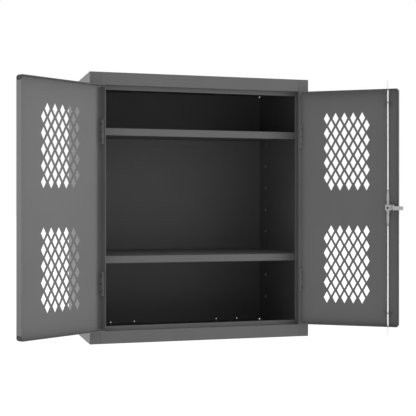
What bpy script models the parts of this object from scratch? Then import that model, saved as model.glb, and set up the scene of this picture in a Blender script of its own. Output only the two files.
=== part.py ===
"""Ventilated steel cabinet: two perforated doors, two shelves and a three-point latch.

Metres, +Z up. The origin is the middle of the underside, and the front faces -Y.
Both doors stand open, with the latch bolts thrown.
"""
from math import cos, pi, radians, sin

import bmesh
import bpy
from mathutils import Matrix, Vector

# Body
CABINET_WIDTH = 0.9144
CABINET_DEPTH = 0.6096
CABINET_HEIGHT = 1.0668
SHEET = 0.0019
SEAM = 0.0003
RAIL_HEIGHT = 0.0508
STILE_WIDTH = 0.042
JAMB_DEPTH = 0.033
RAIL_STOP = 0.015
STILE_STOP = 0.005
CORNER_RELIEF = 0.004
DRAIN_RADIUS = 0.0019
DRAIN_HEIGHT = 0.011
DRAIN_WIDTH_SHARES = (0.211, 0.33, 0.761, 0.872)

# Shelves, the slots for them in the side panels, and the clips that carry them
LOWER_SHELF_TOP = 0.3429
UPPER_SHELF_TOP = 0.8509
SHELF_LIP = 0.0296
SHELF_RETURN = 0.012
SHELF_FRONT_GAP = 0.004
SHELF_BACK_GAP = 0.0047
SHELF_END_GAP = 0.001
SHELF_HOLE_RADIUS = 0.004
SHELF_HOLE_FROM_END = 0.026
SHELF_HOLE_HEIGHT_SHARE = 0.33
SLOT_PITCH = 0.1016
SLOT_ROWS = 8
SLOTS_UNDER_LOWER_SHELF = 2
SLOT_WIDTH = 0.0049
SLOT_HEIGHT = 0.0127
SLOT_BELOW_SHELF = 0.0203
SLOTS_FROM_FRONT = 0.08
SLOTS_FROM_BACK = 0.0876
CLIP_LENGTH = 0.03
CLIP_LEG = 0.035
CLIP_FOOT = 0.025
CLIP_BOLT_RADIUS = 0.0021
CLIP_BOLT_HEAD_RADIUS = 0.0066
CLIP_BOLT_HEAD = 0.0016
CLIP_NUT_RADIUS = 0.0058
CLIP_NUT = 0.0045

# Doors
DOOR_THICKNESS = 0.03
DOOR_HINGE_GAP = 0.004
DOOR_CENTRE_GAP = 0.0104
DOOR_END_GAP = 0.0047
DOOR_CORNER_NOTCH = 0.006
DOOR_OPEN_ANGLE = radians(147.5)

# Diamond openings, in two blocks on each door, shifted a little towards the hinges
DIAMOND_WIDTH = 0.0242
DIAMOND_HEIGHT = 0.047
DIAMOND_PITCH_ACROSS = 0.0361
DIAMOND_PITCH_UP = 0.0605
DIAMOND_COLUMNS = 5
DIAMOND_ROW_PAIRS = 5
BLOCK_FROM_MIDDLE = 0.2305
BLOCK_SHIFT_LEFT = 0.0024
BLOCK_SHIFT_RIGHT = 0.0096

# Hinges
HINGE_FROM_MIDDLE = 0.2957
HINGE_LENGTH = 0.1076
HINGE_KNUCKLES = 5
KNUCKLE_RADIUS = 0.0042
KNUCKLE_GAP = 0.0004
TONGUE_SHARE = 0.62
PIN_RADIUS = 0.0019
PIN_CLEARANCE = 0.0003
PIN_HEAD_RADIUS = 0.0034
PIN_HEAD = 0.0014
PIN_PROUD = 0.0046
PIN_FROM_DOOR_EDGE = 0.0043
LEAF_THICKNESS = 0.0015
LEAF_WIDTH = 0.022
LEAF_START = 0.006
NUT_PLATE_THICKNESS = 0.0074
NUT_PLATE_WIDTH = 0.02
NUT_PLATE_LENGTH = 0.0955
SCREW_SPACING = 0.0312
SCREW_RADIUS = 0.0024
SCREW_CLEARANCE = 0.0003
SCREW_END_RADIUS = 0.0028
SCREW_END = 0.0026

# Latch: a crank on the handle's spindle drives two rods and a pawl
LATCH_FROM_EDGE = 0.044
CRANK_RADIUS = 0.028
CRANK_WIDTH = 0.019
CRANK_MIDDLE_HEIGHT = 0.019
CRANK_TAPER = 0.005
CRANK_ARM_WIDTH = 0.0098
CRANK_THICKNESS = 0.003
CRANK_DEPTH = 0.014
CRANK_PIN_RADIUS = 0.0026
CRANK_PIN_HEAD_RADIUS = 0.0049
CRANK_PIN_HEAD = 0.002
ROD_RADIUS = 0.004
ROD_EYE_RADIUS = 0.005
ROD_EYE_THICKNESS = 0.003
ROD_NECK = 0.045
ROD_NECK_SHARE = 0.9
ROD_EYE_TURN_SHARES = (0.472, 0.556)
ROD_TIP_CHAMFER = 0.0015
ROD_THROW = 0.032
ROD_SWAY = 0.006
ROD_CLEARANCE = 0.0008
GUIDE_FROM_DOOR_END = 0.0534
GUIDE_WIDTH = 0.03
GUIDE_FOOT = 0.02
GUIDE_TAB = 0.0255
HUB_WIDTH = 0.018
HUB_HEIGHT = 0.018
HUB_CORNER = 0.003
HUB_PROUD = 0.0062
PAWL_THICKNESS = 0.003
PAWL_TAIL = 0.01
PAWL_SHOULDER_TOP = 0.0123
PAWL_SHOULDER_END = 0.0237
PAWL_FINGER_TOP = 0.0064
PAWL_FINGER_START = 0.0284
PAWL_BOTTOM = 0.0091
PAWL_REACH = 0.0615
PAWL_BEND_START = 0.0125
PAWL_BEND_RUN = 0.01
PAWL_BEHIND_DOOR = 0.0015
SPINDLE_RADIUS = 0.006
SPINDLE_SQUARE = 0.009
SPINDLE_CLEARANCE = 0.0003
SPINDLE_HOLE_RADIUS = 0.008
HOUSING_RADIUS = 0.0105
HOUSING_THICKNESS = 0.006
CLAMP_WIDTH = 0.0165
CLAMP_HEIGHT = 0.0165
CLAMP_THICKNESS = 0.0035
CLAMP_CORNER = 0.0015
LATCH_SCREW_RADIUS = 0.003
LATCH_SCREW_HEAD_RADIUS = 0.0042
LATCH_SCREW_HEAD = 0.003
LATCH_SCREW_LENGTH = 0.012
LATCH_SCREW_SOCKET_RADIUS = 0.0025
LATCH_SCREW_SOCKET = 0.0018

# Handle on the outside of the right door
ESCUTCHEON_WIDTH = 0.036
ESCUTCHEON_HEIGHT = 0.084
ESCUTCHEON_THICKNESS = 0.003
ESCUTCHEON_DROP = 0.012
ESCUTCHEON_ROUND_SHARE = 0.9
BOSS_RADIUS = 0.0145
BOSS_LENGTH = 0.025
LEVER_LENGTH = 0.118
LEVER_WIDTH = 0.017
LEVER_THICKNESS = 0.0095
LEVER_EDGE = 0.003
SPINDLE_SEAT = 0.014
PLUG_RADIUS = 0.0075
PLUG_LENGTH = 0.007
PLUG_PROUD = 0.0006
KEYWAY_WIDTH = 0.0012
KEYWAY_HEIGHT = 0.008
KEYWAY_DEPTH = 0.005

# How round the round pieces are, and how far a cut runs past what it cuts
SIDES = 16
FINE_SIDES = 24
BOLT_SIDES = 12
HEXAGON = 6
CORNER_STEPS = 4
ROUND_END_SHARE = 0.98
OVERRUN = 0.002
MERGE_SHARE = 0.01

# Worked out from the sizes above
HALF_WIDTH = CABINET_WIDTH / 2
FRONT = -CABINET_DEPTH / 2
BACK = CABINET_DEPTH / 2
MIDDLE = CABINET_HEIGHT / 2
OPENING_HALF = HALF_WIDTH - STILE_WIDTH
DOOR_WIDTH = OPENING_HALF - DOOR_HINGE_GAP - DOOR_CENTRE_GAP / 2
DOOR_LOW = RAIL_HEIGHT + DOOR_END_GAP
DOOR_HIGH = CABINET_HEIGHT - RAIL_HEIGHT - DOOR_END_GAP
PIN_FROM_JAMB = PIN_FROM_DOOR_EDGE - DOOR_HINGE_GAP
PIN_X = OPENING_HALF + PIN_FROM_JAMB
PIN_Y = FRONT - PIN_PROUD
KNUCKLE_PITCH = HINGE_LENGTH / HINGE_KNUCKLES
ROD_DEPTH = CRANK_DEPTH + CRANK_THICKNESS + SEAM + ROD_EYE_THICKNESS / 2
HUB_DEPTH = CRANK_DEPTH + CRANK_THICKNESS + SEAM
PAWL_DEPTH = HUB_DEPTH + ROD_EYE_THICKNESS + HUB_PROUD
PAWL_HOOK_DEPTH = DOOR_THICKNESS + PAWL_BEHIND_DOOR
LATCH_TO_HINGE = DOOR_WIDTH - LATCH_FROM_EDGE
ROD_SLOT_HALF = ROD_RADIUS + ROD_SWAY + ROD_CLEARANCE
ROD_SLOT_DEPTH_HALF = ROD_RADIUS + ROD_CLEARANCE


def new_collection(name):
    """A collection of this name, linked to the scene."""
    made = bpy.data.collections.new(name)
    bpy.context.scene.collection.children.link(made)
    return made


def make_material(name, colour, roughness, metallic):
    """A Principled material."""
    made = bpy.data.materials.new(name)
    made.use_nodes = True
    shader = made.node_tree.nodes["Principled BSDF"]
    shader.inputs["Base Color"].default_value = (*colour, 1.0)
    shader.inputs["Roughness"].default_value = roughness
    shader.inputs["Metallic"].default_value = metallic
    return made


def add_part(piece, material, parent=None):
    """Put a finished piece in the cabinet's collection with its material and parent."""
    PARTS.objects.link(piece)
    piece.data.materials.clear()
    piece.data.materials.append(material)
    piece.parent = parent
    return piece


def add_empty(name, place, angle=0.0, parent=None):
    """An empty on a joint's axis. What turns with the joint is its child."""
    empty = bpy.data.objects.new(name, None)
    PARTS.objects.link(empty)
    empty.location = place
    empty.rotation_euler = (0.0, 0.0, angle)
    empty.parent = parent
    return empty


def from_bmesh(name, shape):
    """An object that holds a bmesh."""
    mesh = bpy.data.meshes.new(name)
    shape.normal_update()
    shape.to_mesh(mesh)
    shape.free()
    return bpy.data.objects.new(name, mesh)


def add_box(shape, low, high):
    """Add a box between two corners to a bmesh."""
    low = Vector(low)
    high = Vector(high)
    made = bmesh.ops.create_cube(shape, size=1.0)["verts"]
    bmesh.ops.scale(shape, vec=high - low, verts=made)
    bmesh.ops.translate(shape, vec=(low + high) / 2, verts=made)


def add_bar(shape, start, end, radius, sides=SIDES):
    """Add a round bar between two points to a bmesh."""
    start = Vector(start)
    run = Vector(end) - start
    made = bmesh.ops.create_cone(shape, cap_ends=True, segments=sides, radius1=radius,
                                 radius2=radius, depth=run.length)["verts"]
    turn = run.to_track_quat("Z", "Y").to_matrix()
    bmesh.ops.rotate(shape, cent=(0, 0, 0), matrix=turn, verts=made)
    bmesh.ops.translate(shape, vec=start + run / 2, verts=made)


def box(name, low, high):
    """A box between two corners."""
    shape = bmesh.new()
    add_box(shape, low, high)
    return from_bmesh(name, shape)


def bar(name, start, end, radius, sides=SIDES):
    """A round bar between two points."""
    shape = bmesh.new()
    add_bar(shape, start, end, radius, sides)
    return from_bmesh(name, shape)


def folded_sheet(name, path, along, gauge=SHEET):
    """A sheet bent along a path of its middle surface, and as long as a vector."""
    shape = bmesh.new()
    corners = [shape.verts.new(point) for point in path]
    edges = [shape.edges.new(pair) for pair in zip(corners, corners[1:])]
    swept = bmesh.ops.extrude_edge_only(shape, edges=edges)["geom"]
    moved = [item for item in swept if isinstance(item, bmesh.types.BMVert)]
    bmesh.ops.translate(shape, vec=along, verts=moved)
    bmesh.ops.recalc_face_normals(shape, faces=shape.faces)
    piece = from_bmesh(name, shape)
    thicken = piece.modifiers.new("thickness", "SOLIDIFY")
    thicken.thickness = gauge
    thicken.offset = 0.0
    thicken.use_even_offset = True
    return piece


def turned(name, profile, sides=SIDES):
    """A shape turned about Z from (radius, height) points that run down its outer side."""
    shape = bmesh.new()
    points = [shape.verts.new((radius, 0.0, height)) for radius, height in profile]
    for pair in zip(points, points[1:]):
        shape.edges.new(pair)
    if profile[0][0] > 0 and profile[-1][0] > 0:
        shape.edges.new((points[-1], points[0]))
    piece = from_bmesh(name, shape)
    lathe = piece.modifiers.new("lathe", "SCREW")
    lathe.steps = sides
    lathe.render_steps = sides
    lathe.use_merge_vertices = True
    lathe.merge_threshold = OVERRUN * MERGE_SHARE
    return piece


def flat_shape(name, outlines, thickness):
    """A flat plate in XY from closed outlines, the later ones being holes, on Z = 0 and up."""
    curve = bpy.data.curves.new(name, "CURVE")
    curve.dimensions = "2D"
    curve.fill_mode = "BOTH"
    curve.extrude = thickness / 2
    for outline in outlines:
        spline = curve.splines.new("POLY")
        spline.points.add(len(outline) - 1)
        for point, (across, up) in zip(spline.points, outline):
            point.co = (across, up, 0.0, 1.0)
        spline.use_cyclic_u = True
    drawn = bpy.data.objects.new(name, curve)
    bpy.context.scene.collection.objects.link(drawn)
    seen = drawn.evaluated_get(bpy.context.evaluated_depsgraph_get())
    mesh = bpy.data.meshes.new_from_object(seen)
    bpy.data.objects.remove(drawn, do_unlink=True)
    shape = bmesh.new()
    shape.from_mesh(mesh)
    bmesh.ops.remove_doubles(shape, verts=shape.verts, dist=OVERRUN * MERGE_SHARE)
    bmesh.ops.translate(shape, vec=(0, 0, thickness / 2), verts=shape.verts)
    bpy.data.meshes.remove(mesh)
    return from_bmesh(name, shape)


def circle(radius, centre=(0.0, 0.0), sides=SIDES):
    """The points of a circle."""
    return [(centre[0] + radius * cos(2 * pi * step / sides),
             centre[1] + radius * sin(2 * pi * step / sides)) for step in range(sides)]


def rounded_rectangle(half_width, half_height, radius, centre=(0.0, 0.0)):
    """The points of a rectangle whose corners are quarter circles."""
    points = []
    for quarter, (right, up) in enumerate(((1, 1), (-1, 1), (-1, -1), (1, -1))):
        for step in range(CORNER_STEPS + 1):
            angle = (quarter + step / CORNER_STEPS) * pi / 2
            points.append((centre[0] + right * (half_width - radius) + radius * cos(angle),
                           centre[1] + up * (half_height - radius) + radius * sin(angle)))
    return points


def combine(piece, tool, operation, parent=None):
    """Cut a piece with a tool, or fuse the tool to it. The tool moves with the same parent."""
    TOOLS.objects.link(tool)
    tool.hide_render = True
    tool.display_type = "WIRE"
    tool.parent = parent
    step = piece.modifiers.new(tool.name, "BOOLEAN")
    step.operation = operation
    step.solver = "EXACT"
    step.object = tool


def shade_round(piece):
    """Smooth the round faces and keep the edges sharp."""
    piece.data.shade_smooth()
    piece.data.set_sharp_from_angle(angle=radians(40))


def slot_columns():
    """How far back the two columns of slots for the shelves lie."""
    return FRONT + SLOTS_FROM_FRONT, BACK - SLOTS_FROM_BACK


def slot_level(shelf_top):
    """The height of the slots that carry a shelf."""
    return shelf_top - SLOT_BELOW_SHELF


def make_panels():
    """The five flat sheets of the box."""
    top_under = CABINET_HEIGHT - SHEET
    side_inner = HALF_WIDTH - SHEET
    frame_back = FRONT + SHEET + SEAM
    for side, word in ((-1, "left"), (1, "right")):
        low_x, high_x = sorted((side * side_inner, side * HALF_WIDTH))
        panel = box("side_panel_" + word, (low_x, frame_back, 0.0), (high_x, BACK, top_under - SEAM))
        slots = bmesh.new()
        for depth in slot_columns():
            for row in range(SLOT_ROWS):
                level = slot_level(LOWER_SHELF_TOP) + (row - SLOTS_UNDER_LOWER_SHELF) * SLOT_PITCH
                add_box(slots, (low_x - OVERRUN, depth - SLOT_WIDTH / 2, level - SLOT_HEIGHT / 2),
                        (high_x + OVERRUN, depth + SLOT_WIDTH / 2, level + SLOT_HEIGHT / 2))
        combine(panel, from_bmesh("side_panel_slots_" + word, slots), "DIFFERENCE")
        add_part(panel, PAINT)
    back = box("back_panel", (-side_inner + SEAM, BACK - SHEET, 0.0),
               (side_inner - SEAM, BACK, top_under - SEAM))
    holes = bmesh.new()
    for across in (-side_inner + SEAM, side_inner - SEAM):
        for height in (0.0, top_under - SEAM):
            add_bar(holes, (across, BACK - SHEET - OVERRUN, height), (across, BACK + OVERRUN, height),
                    CORNER_RELIEF)
    for share in DRAIN_WIDTH_SHARES:
        across = -HALF_WIDTH + share * CABINET_WIDTH
        add_bar(holes, (across, BACK - SHEET - OVERRUN, DRAIN_HEIGHT),
                (across, BACK + OVERRUN, DRAIN_HEIGHT), DRAIN_RADIUS)
    combine(back, from_bmesh("back_panel_holes", holes), "DIFFERENCE")
    add_part(back, PAINT)
    top = box("top_panel", (-HALF_WIDTH, frame_back, top_under), (HALF_WIDTH, BACK, CABINET_HEIGHT))
    add_part(top, PAINT)
    bottom = box("bottom_panel", (-side_inner + SEAM, frame_back, 0.0),
                 (side_inner - SEAM, BACK - SHEET - SEAM, SHEET))
    add_part(bottom, PAINT)


def rod_slot(name, centre):
    """A tool for the slot that a latch rod runs through, along Z."""
    depth = 2 * (SHEET + OVERRUN)
    tool = flat_shape(name, [rounded_rectangle(ROD_SLOT_HALF, ROD_SLOT_DEPTH_HALF,
                                               ROD_SLOT_DEPTH_HALF * ROUND_END_SHARE)], depth)
    tool.data.transform(Matrix.Translation(Vector(centre) - Vector((0, 0, depth / 2))))
    return tool


def make_rails():
    """Header and sill: face, return under the opening's edge and stop strip."""
    half = SHEET / 2
    edge = CABINET_HEIGHT - RAIL_HEIGHT
    stop_y = FRONT + JAMB_DEPTH - half
    profile = ((FRONT + half, CABINET_HEIGHT), (FRONT + half, edge + half), (stop_y, edge + half),
               (stop_y, edge - RAIL_STOP))
    length = 2 * (OPENING_HALF - SEAM)
    latch_x = DOOR_CENTRE_GAP / 2 + LATCH_FROM_EDGE
    for name, flip in (("header_rail", False), ("sill_rail", True)):
        path = []
        for depth, height in profile:
            path.append((-length / 2, depth, CABINET_HEIGHT - height if flip else height))
        rail = folded_sheet(name, path, (length, 0, 0))
        level = CABINET_HEIGHT - edge - half if flip else edge + half
        slot = rod_slot(name + "_rod_slot", (latch_x, FRONT + ROD_DEPTH, level))
        combine(rail, slot, "DIFFERENCE")
        add_part(rail, PAINT)


def make_stiles():
    """Left and right stiles: face, jamb and stop strip, trimmed to fit the panels and rails."""
    half = SHEET / 2
    stop_y = FRONT + JAMB_DEPTH - half
    for side, word in ((-1, "left"), (1, "right")):
        path = [(side * HALF_WIDTH, FRONT + half, 0.0),
                (side * (OPENING_HALF + half), FRONT + half, 0.0),
                (side * (OPENING_HALF + half), stop_y, 0.0),
                (side * (OPENING_HALF - STILE_STOP), stop_y, 0.0)]
        stile = folded_sheet("stile_" + word, path, (0, 0, CABINET_HEIGHT))
        trims = bmesh.new()
        past_stop = side * (OPENING_HALF - STILE_STOP - OVERRUN)
        past_jamb = side * (HALF_WIDTH + OVERRUN)
        behind_face = FRONT + SHEET + SEAM
        behind_stop = FRONT + JAMB_DEPTH + OVERRUN
        low_x, high_x = sorted((past_stop, past_jamb))
        for low_z, high_z in ((-OVERRUN, SHEET + SEAM),
                              (CABINET_HEIGHT - SHEET - SEAM, CABINET_HEIGHT + OVERRUN)):
            add_box(trims, (low_x, behind_face, low_z), (high_x, behind_stop, high_z))
        combine(stile, from_bmesh("stile_end_trims_" + word, trims), "DIFFERENCE")
        stops = bmesh.new()
        low_x, high_x = sorted((past_stop, side * (OPENING_HALF - SEAM)))
        before_stop = FRONT + JAMB_DEPTH - SHEET - OVERRUN
        rail_reach = RAIL_HEIGHT + RAIL_STOP + SEAM
        for low_z, high_z in ((-OVERRUN, rail_reach),
                              (CABINET_HEIGHT - rail_reach, CABINET_HEIGHT + OVERRUN)):
            add_box(stops, (low_x, before_stop, low_z), (high_x, behind_stop, high_z))
        combine(stile, from_bmesh("stile_stop_trims_" + word, stops), "DIFFERENCE")
        add_part(stile, PAINT)


def shelf_edges():
    """The front and back of a shelf."""
    return FRONT + JAMB_DEPTH + SHELF_FRONT_GAP, BACK - SHEET - SHELF_BACK_GAP


def make_shelves():
    """Two shelves: a sheet with a front lip, the lip's return and a back flange."""
    half = SHEET / 2
    front, back = shelf_edges()
    clip_leg_face = HALF_WIDTH - SHEET - SEAM - SHEET
    end = clip_leg_face - SHELF_END_GAP
    for word, top in (("lower", LOWER_SHELF_TOP), ("upper", UPPER_SHELF_TOP)):
        under = top - SHELF_LIP
        path = [(-end, front + SHELF_RETURN, under + half), (-end, front + half, under + half),
                (-end, front + half, top - half), (-end, back - half, top - half),
                (-end, back - half, under)]
        shelf = folded_sheet("shelf_" + word, path, (2 * end, 0, 0))
        holes = bmesh.new()
        level = under + (SHELF_LIP - SHEET) * SHELF_HOLE_HEIGHT_SHARE
        for side in (-1, 1):
            across = side * (end - SHELF_HOLE_FROM_END)
            add_bar(holes, (across, back - SHEET - OVERRUN, level), (across, back + OVERRUN, level),
                    SHELF_HOLE_RADIUS)
        combine(shelf, from_bmesh("shelf_holes_" + word, holes), "DIFFERENCE")
        add_part(shelf, PAINT)


def make_clips():
    """An angle clip under each corner of each shelf."""
    for side, word in ((-1, "left"), (1, "right")):
        for depth, place in zip(slot_columns(), ("front", "back")):
            for shelf_word, top in (("lower", LOWER_SHELF_TOP), ("upper", UPPER_SHELF_TOP)):
                make_clip("shelf_clip_%s_%s_%s" % (shelf_word, word, place), side, depth, top)


def make_clip(name, side, depth, shelf_top):
    """An angle clip on a side panel, with its bolt through a slot and its nut inside."""
    half = SHEET / 2
    rest = shelf_top - SHEET - SEAM - half
    panel_face = HALF_WIDTH - SHEET
    leg_x = panel_face - SEAM - half
    start = depth - CLIP_LENGTH / 2
    path = [(side * leg_x, start, rest - CLIP_LEG), (side * leg_x, start, rest),
            (side * (leg_x - CLIP_FOOT), start, rest)]
    clip = folded_sheet(name, path, (0, CLIP_LENGTH, 0))
    level = slot_level(shelf_top)
    nut = bar(name + "_nut", (side * (leg_x - half - CLIP_NUT), depth, level),
              (side * leg_x, depth, level), CLIP_NUT_RADIUS, HEXAGON)
    combine(clip, nut, "UNION")
    shank = bar(name + "_shank", (side * (leg_x - half / 2), depth, level),
                (side * (HALF_WIDTH + SEAM + CLIP_BOLT_HEAD / 2), depth, level), CLIP_BOLT_RADIUS,
                BOLT_SIDES)
    combine(clip, shank, "UNION")
    head = bar(name + "_bolt_head", (side * (HALF_WIDTH + SEAM), depth, level),
               (side * (HALF_WIDTH + SEAM + CLIP_BOLT_HEAD), depth, level), CLIP_BOLT_HEAD_RADIUS)
    combine(clip, head, "UNION")
    add_part(clip, PAINT)


def door_point(side, from_edge, depth, height):
    """A point of a door in the frame of its hinge pin, as if the door were closed."""
    return Vector((side * (PIN_FROM_DOOR_EDGE + from_edge), PIN_PROUD + depth, height))


def door_box(shape, side, low, high):
    """Add a box to a bmesh, by (from hinge edge, depth, height) corners."""
    one = door_point(side, *low)
    two = door_point(side, *high)
    add_box(shape, [min(pair) for pair in zip(one, two)], [max(pair) for pair in zip(one, two)])


def diamond_centres():
    """Places of the diamonds as (across from their block's middle, up from the door's middle)."""
    for block in (1, -1):
        for pair in range(DIAMOND_ROW_PAIRS):
            centre_row = (DIAMOND_ROW_PAIRS - 1) / 2 - pair
            for shift in (-1, 1):
                up = block * (BLOCK_FROM_MIDDLE + (centre_row - shift / 4) * DIAMOND_PITCH_UP)
                for column in range(DIAMOND_COLUMNS):
                    steps = column - (DIAMOND_COLUMNS - 1) / 2 + shift / 4
                    yield steps * DIAMOND_PITCH_ACROSS, up


def make_door(word, side, pivot):
    """A door pan: a perforated skin with four flanges turned inwards."""
    shape = bmesh.new()
    door_box(shape, side, (0, 0, DOOR_LOW), (DOOR_WIDTH, DOOR_THICKNESS, DOOR_HIGH))
    inner_depth = PIN_PROUD + DOOR_THICKNESS
    inner = [face for face in shape.faces if face.calc_center_median().y > inner_depth - OVERRUN]
    bmesh.ops.delete(shape, geom=inner, context="FACES_ONLY")
    door = from_bmesh("door_" + word, shape)
    thicken = door.modifiers.new("thickness", "SOLIDIFY")
    thicken.thickness = SHEET
    thicken.offset = -1.0
    thicken.use_even_offset = True
    openings = bmesh.new()
    block_middle = DOOR_WIDTH / 2 - (BLOCK_SHIFT_RIGHT if word == "right" else BLOCK_SHIFT_LEFT)
    for across, up in diamond_centres():
        made = bmesh.ops.create_cone(openings, cap_ends=True, segments=4, radius1=0.5, radius2=0.5,
                                     depth=1.0)["verts"]
        bmesh.ops.scale(openings, vec=(DIAMOND_WIDTH, DIAMOND_HEIGHT, 2 * (SHEET + OVERRUN)), verts=made)
        bmesh.ops.rotate(openings, cent=(0, 0, 0), matrix=Matrix.Rotation(pi / 2, 3, "X"), verts=made)
        place = door_point(side, block_middle + across, 0, MIDDLE + up)
        bmesh.ops.translate(openings, vec=place, verts=made)
    for from_edge in (0, DOOR_WIDTH):
        for height in (DOOR_LOW, DOOR_HIGH):
            add_bar(openings, door_point(side, from_edge, -OVERRUN, height),
                    door_point(side, from_edge, DOOR_THICKNESS + OVERRUN, height), DOOR_CORNER_NOTCH)
    for middle in (MIDDLE - HINGE_FROM_MIDDLE, MIDDLE + HINGE_FROM_MIDDLE):
        for turn in (-1, 0, 1):
            height = middle + turn * SCREW_SPACING
            depth = screw_depth()
            add_bar(openings, door_point(side, -OVERRUN, depth, height),
                    door_point(side, SHEET + OVERRUN, depth, height), SCREW_RADIUS + SCREW_CLEARANCE,
                    BOLT_SIDES)
    if word == "right":
        add_bar(openings, door_point(side, LATCH_TO_HINGE, -OVERRUN, MIDDLE),
                door_point(side, LATCH_TO_HINGE, SHEET + OVERRUN, MIDDLE), SPINDLE_HOLE_RADIUS, FINE_SIDES)
        for height in (DOOR_LOW + SHEET / 2, DOOR_HIGH - SHEET / 2):
            slot = rod_slot("door_rod_slot", door_point(side, LATCH_TO_HINGE, ROD_DEPTH, height))
            openings.from_mesh(slot.data)
            bpy.data.objects.remove(slot, do_unlink=True)
    combine(door, from_bmesh("door_openings_" + word, openings), "DIFFERENCE", pivot)
    add_part(door, PAINT, pivot)


def screw_depth():
    """How far the hinge screws lie behind the door's outer face."""
    return LEAF_START - PIN_PROUD + LEAF_WIDTH / 2


def leaf_outline(knuckles):
    """A hinge leaf's outline as (from the pin, up) points, with a tongue at each of its knuckles."""
    far = LEAF_START + LEAF_WIDTH
    half = HINGE_LENGTH / 2
    reach = KNUCKLE_RADIUS * TONGUE_SHARE
    points = [(far, half), (far, -half)]
    for number in range(HINGE_KNUCKLES):
        low = -half + number * KNUCKLE_PITCH
        if number in knuckles:
            low_edge = low + KNUCKLE_GAP / 2
            high_edge = low + KNUCKLE_PITCH - KNUCKLE_GAP / 2
            points += [(LEAF_START, low_edge), (reach, low_edge), (reach, high_edge),
                       (LEAF_START, high_edge)]
        elif number in (0, HINGE_KNUCKLES - 1):
            points.append((LEAF_START, low if number == 0 else half))
    return points


def make_leaf(name, side, low_x, knuckles, height, parent, offset, screw_holes):
    """One hinge leaf with its knuckles and the bore for the pin."""
    outlines = [leaf_outline(knuckles)]
    if screw_holes:
        for turn in (-1, 0, 1):
            outlines.append(circle(SCREW_RADIUS + SCREW_CLEARANCE,
                                   (LEAF_START + LEAF_WIDTH / 2, turn * SCREW_SPACING), BOLT_SIDES))
    leaf = flat_shape(name, outlines, LEAF_THICKNESS)
    stand = Matrix(((0, 0, 1, low_x), (1, 0, 0, 0), (0, 1, 0, 0), (0, 0, 0, 1)))
    leaf.data.transform(stand)
    if side < 0:
        leaf.data.transform(Matrix.Scale(-1, 4, (1, 0, 0)))
        leaf.data.flip_normals()
    leaf.data.transform(Matrix.Translation((offset[0], offset[1], height)))
    barrels = bmesh.new()
    for number in knuckles:
        low = height - HINGE_LENGTH / 2 + number * KNUCKLE_PITCH + KNUCKLE_GAP / 2
        add_bar(barrels, (offset[0], offset[1], low),
                (offset[0], offset[1], low + KNUCKLE_PITCH - KNUCKLE_GAP), KNUCKLE_RADIUS)
    combine(leaf, from_bmesh(name + "_knuckles", barrels), "UNION", parent)
    reach = HINGE_LENGTH / 2 + OVERRUN
    bore = bar(name + "_bore", (offset[0], offset[1], height - reach),
               (offset[0], offset[1], height + reach), PIN_RADIUS + PIN_CLEARANCE, BOLT_SIDES)
    combine(leaf, bore, "DIFFERENCE", parent)
    shade_round(leaf)
    add_part(leaf, PAINT, parent)


def make_hinges(word, side, pivot):
    """Two hinges a door: a leaf on the jamb, a leaf on the door, a pin and a nut plate."""
    pin_place = (-side * PIN_X, PIN_Y)
    frame_leaf_x = PIN_FROM_JAMB + SEAM
    door_leaf_x = PIN_FROM_DOOR_EDGE - SEAM - LEAF_THICKNESS
    for level, height in (("lower", MIDDLE - HINGE_FROM_MIDDLE), ("upper", MIDDLE + HINGE_FROM_MIDDLE)):
        tag = "%s_%s" % (word, level)
        make_leaf("hinge_frame_leaf_" + tag, side, frame_leaf_x, (0, 2, 4), height, None, pin_place, False)
        make_leaf("hinge_door_leaf_" + tag, side, door_leaf_x, (1, 3), height, pivot, (0.0, 0.0), True)
        top = HINGE_LENGTH / 2 + SEAM
        pin = turned("hinge_pin_" + tag, [(0, top + PIN_HEAD), (PIN_HEAD_RADIUS, top + PIN_HEAD),
                                          (PIN_HEAD_RADIUS, top), (PIN_RADIUS, top),
                                          (PIN_RADIUS, -HINGE_LENGTH / 2), (0, -HINGE_LENGTH / 2)],
                     BOLT_SIDES)
        pin.location = (pin_place[0], pin_place[1], height)
        shade_round(pin)
        add_part(pin, ZINC)
        make_nut_plate("hinge_nut_plate_" + tag, side, height, pivot)


def make_nut_plate(name, side, height, pivot):
    """The plate inside the door that the hinge screws run into, with the screws."""
    inner = SHEET + SEAM
    middle_depth = screw_depth()
    shape = bmesh.new()
    low = height - NUT_PLATE_LENGTH / 2
    door_box(shape, side, (inner, middle_depth - NUT_PLATE_WIDTH / 2, low),
             (inner + NUT_PLATE_THICKNESS, middle_depth + NUT_PLATE_WIDTH / 2, low + NUT_PLATE_LENGTH))
    plate = from_bmesh(name, shape)
    screws = bmesh.new()
    ends = bmesh.new()
    for turn in (-1, 0, 1):
        level = height + turn * SCREW_SPACING
        add_bar(screws, door_point(side, -SEAM - LEAF_THICKNESS, middle_depth, level),
                door_point(side, inner + NUT_PLATE_THICKNESS / 2, middle_depth, level), SCREW_RADIUS,
                BOLT_SIDES)
        add_bar(ends, door_point(side, inner + NUT_PLATE_THICKNESS / 2, middle_depth, level),
                door_point(side, inner + NUT_PLATE_THICKNESS + SCREW_END, middle_depth, level),
                SCREW_END_RADIUS, BOLT_SIDES)
    combine(plate, from_bmesh(name + "_screws", screws), "UNION", pivot)
    combine(plate, from_bmesh(name + "_screw_ends", ends), "UNION", pivot)
    add_part(plate, PAINT, pivot)


def latch_point(across, depth, up):
    """A point by the handle's axis: towards the free edge, in from the outer face, and up."""
    return Vector((-across, depth, up))


def stand_up(piece, depth):
    """Turn a flat shape so that its XY lies along the door and its thickness runs inwards."""
    piece.data.transform(Matrix(((-1, 0, 0, 0), (0, 0, 1, depth), (0, 1, 0, 0), (0, 0, 0, 1))))
    return piece


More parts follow.
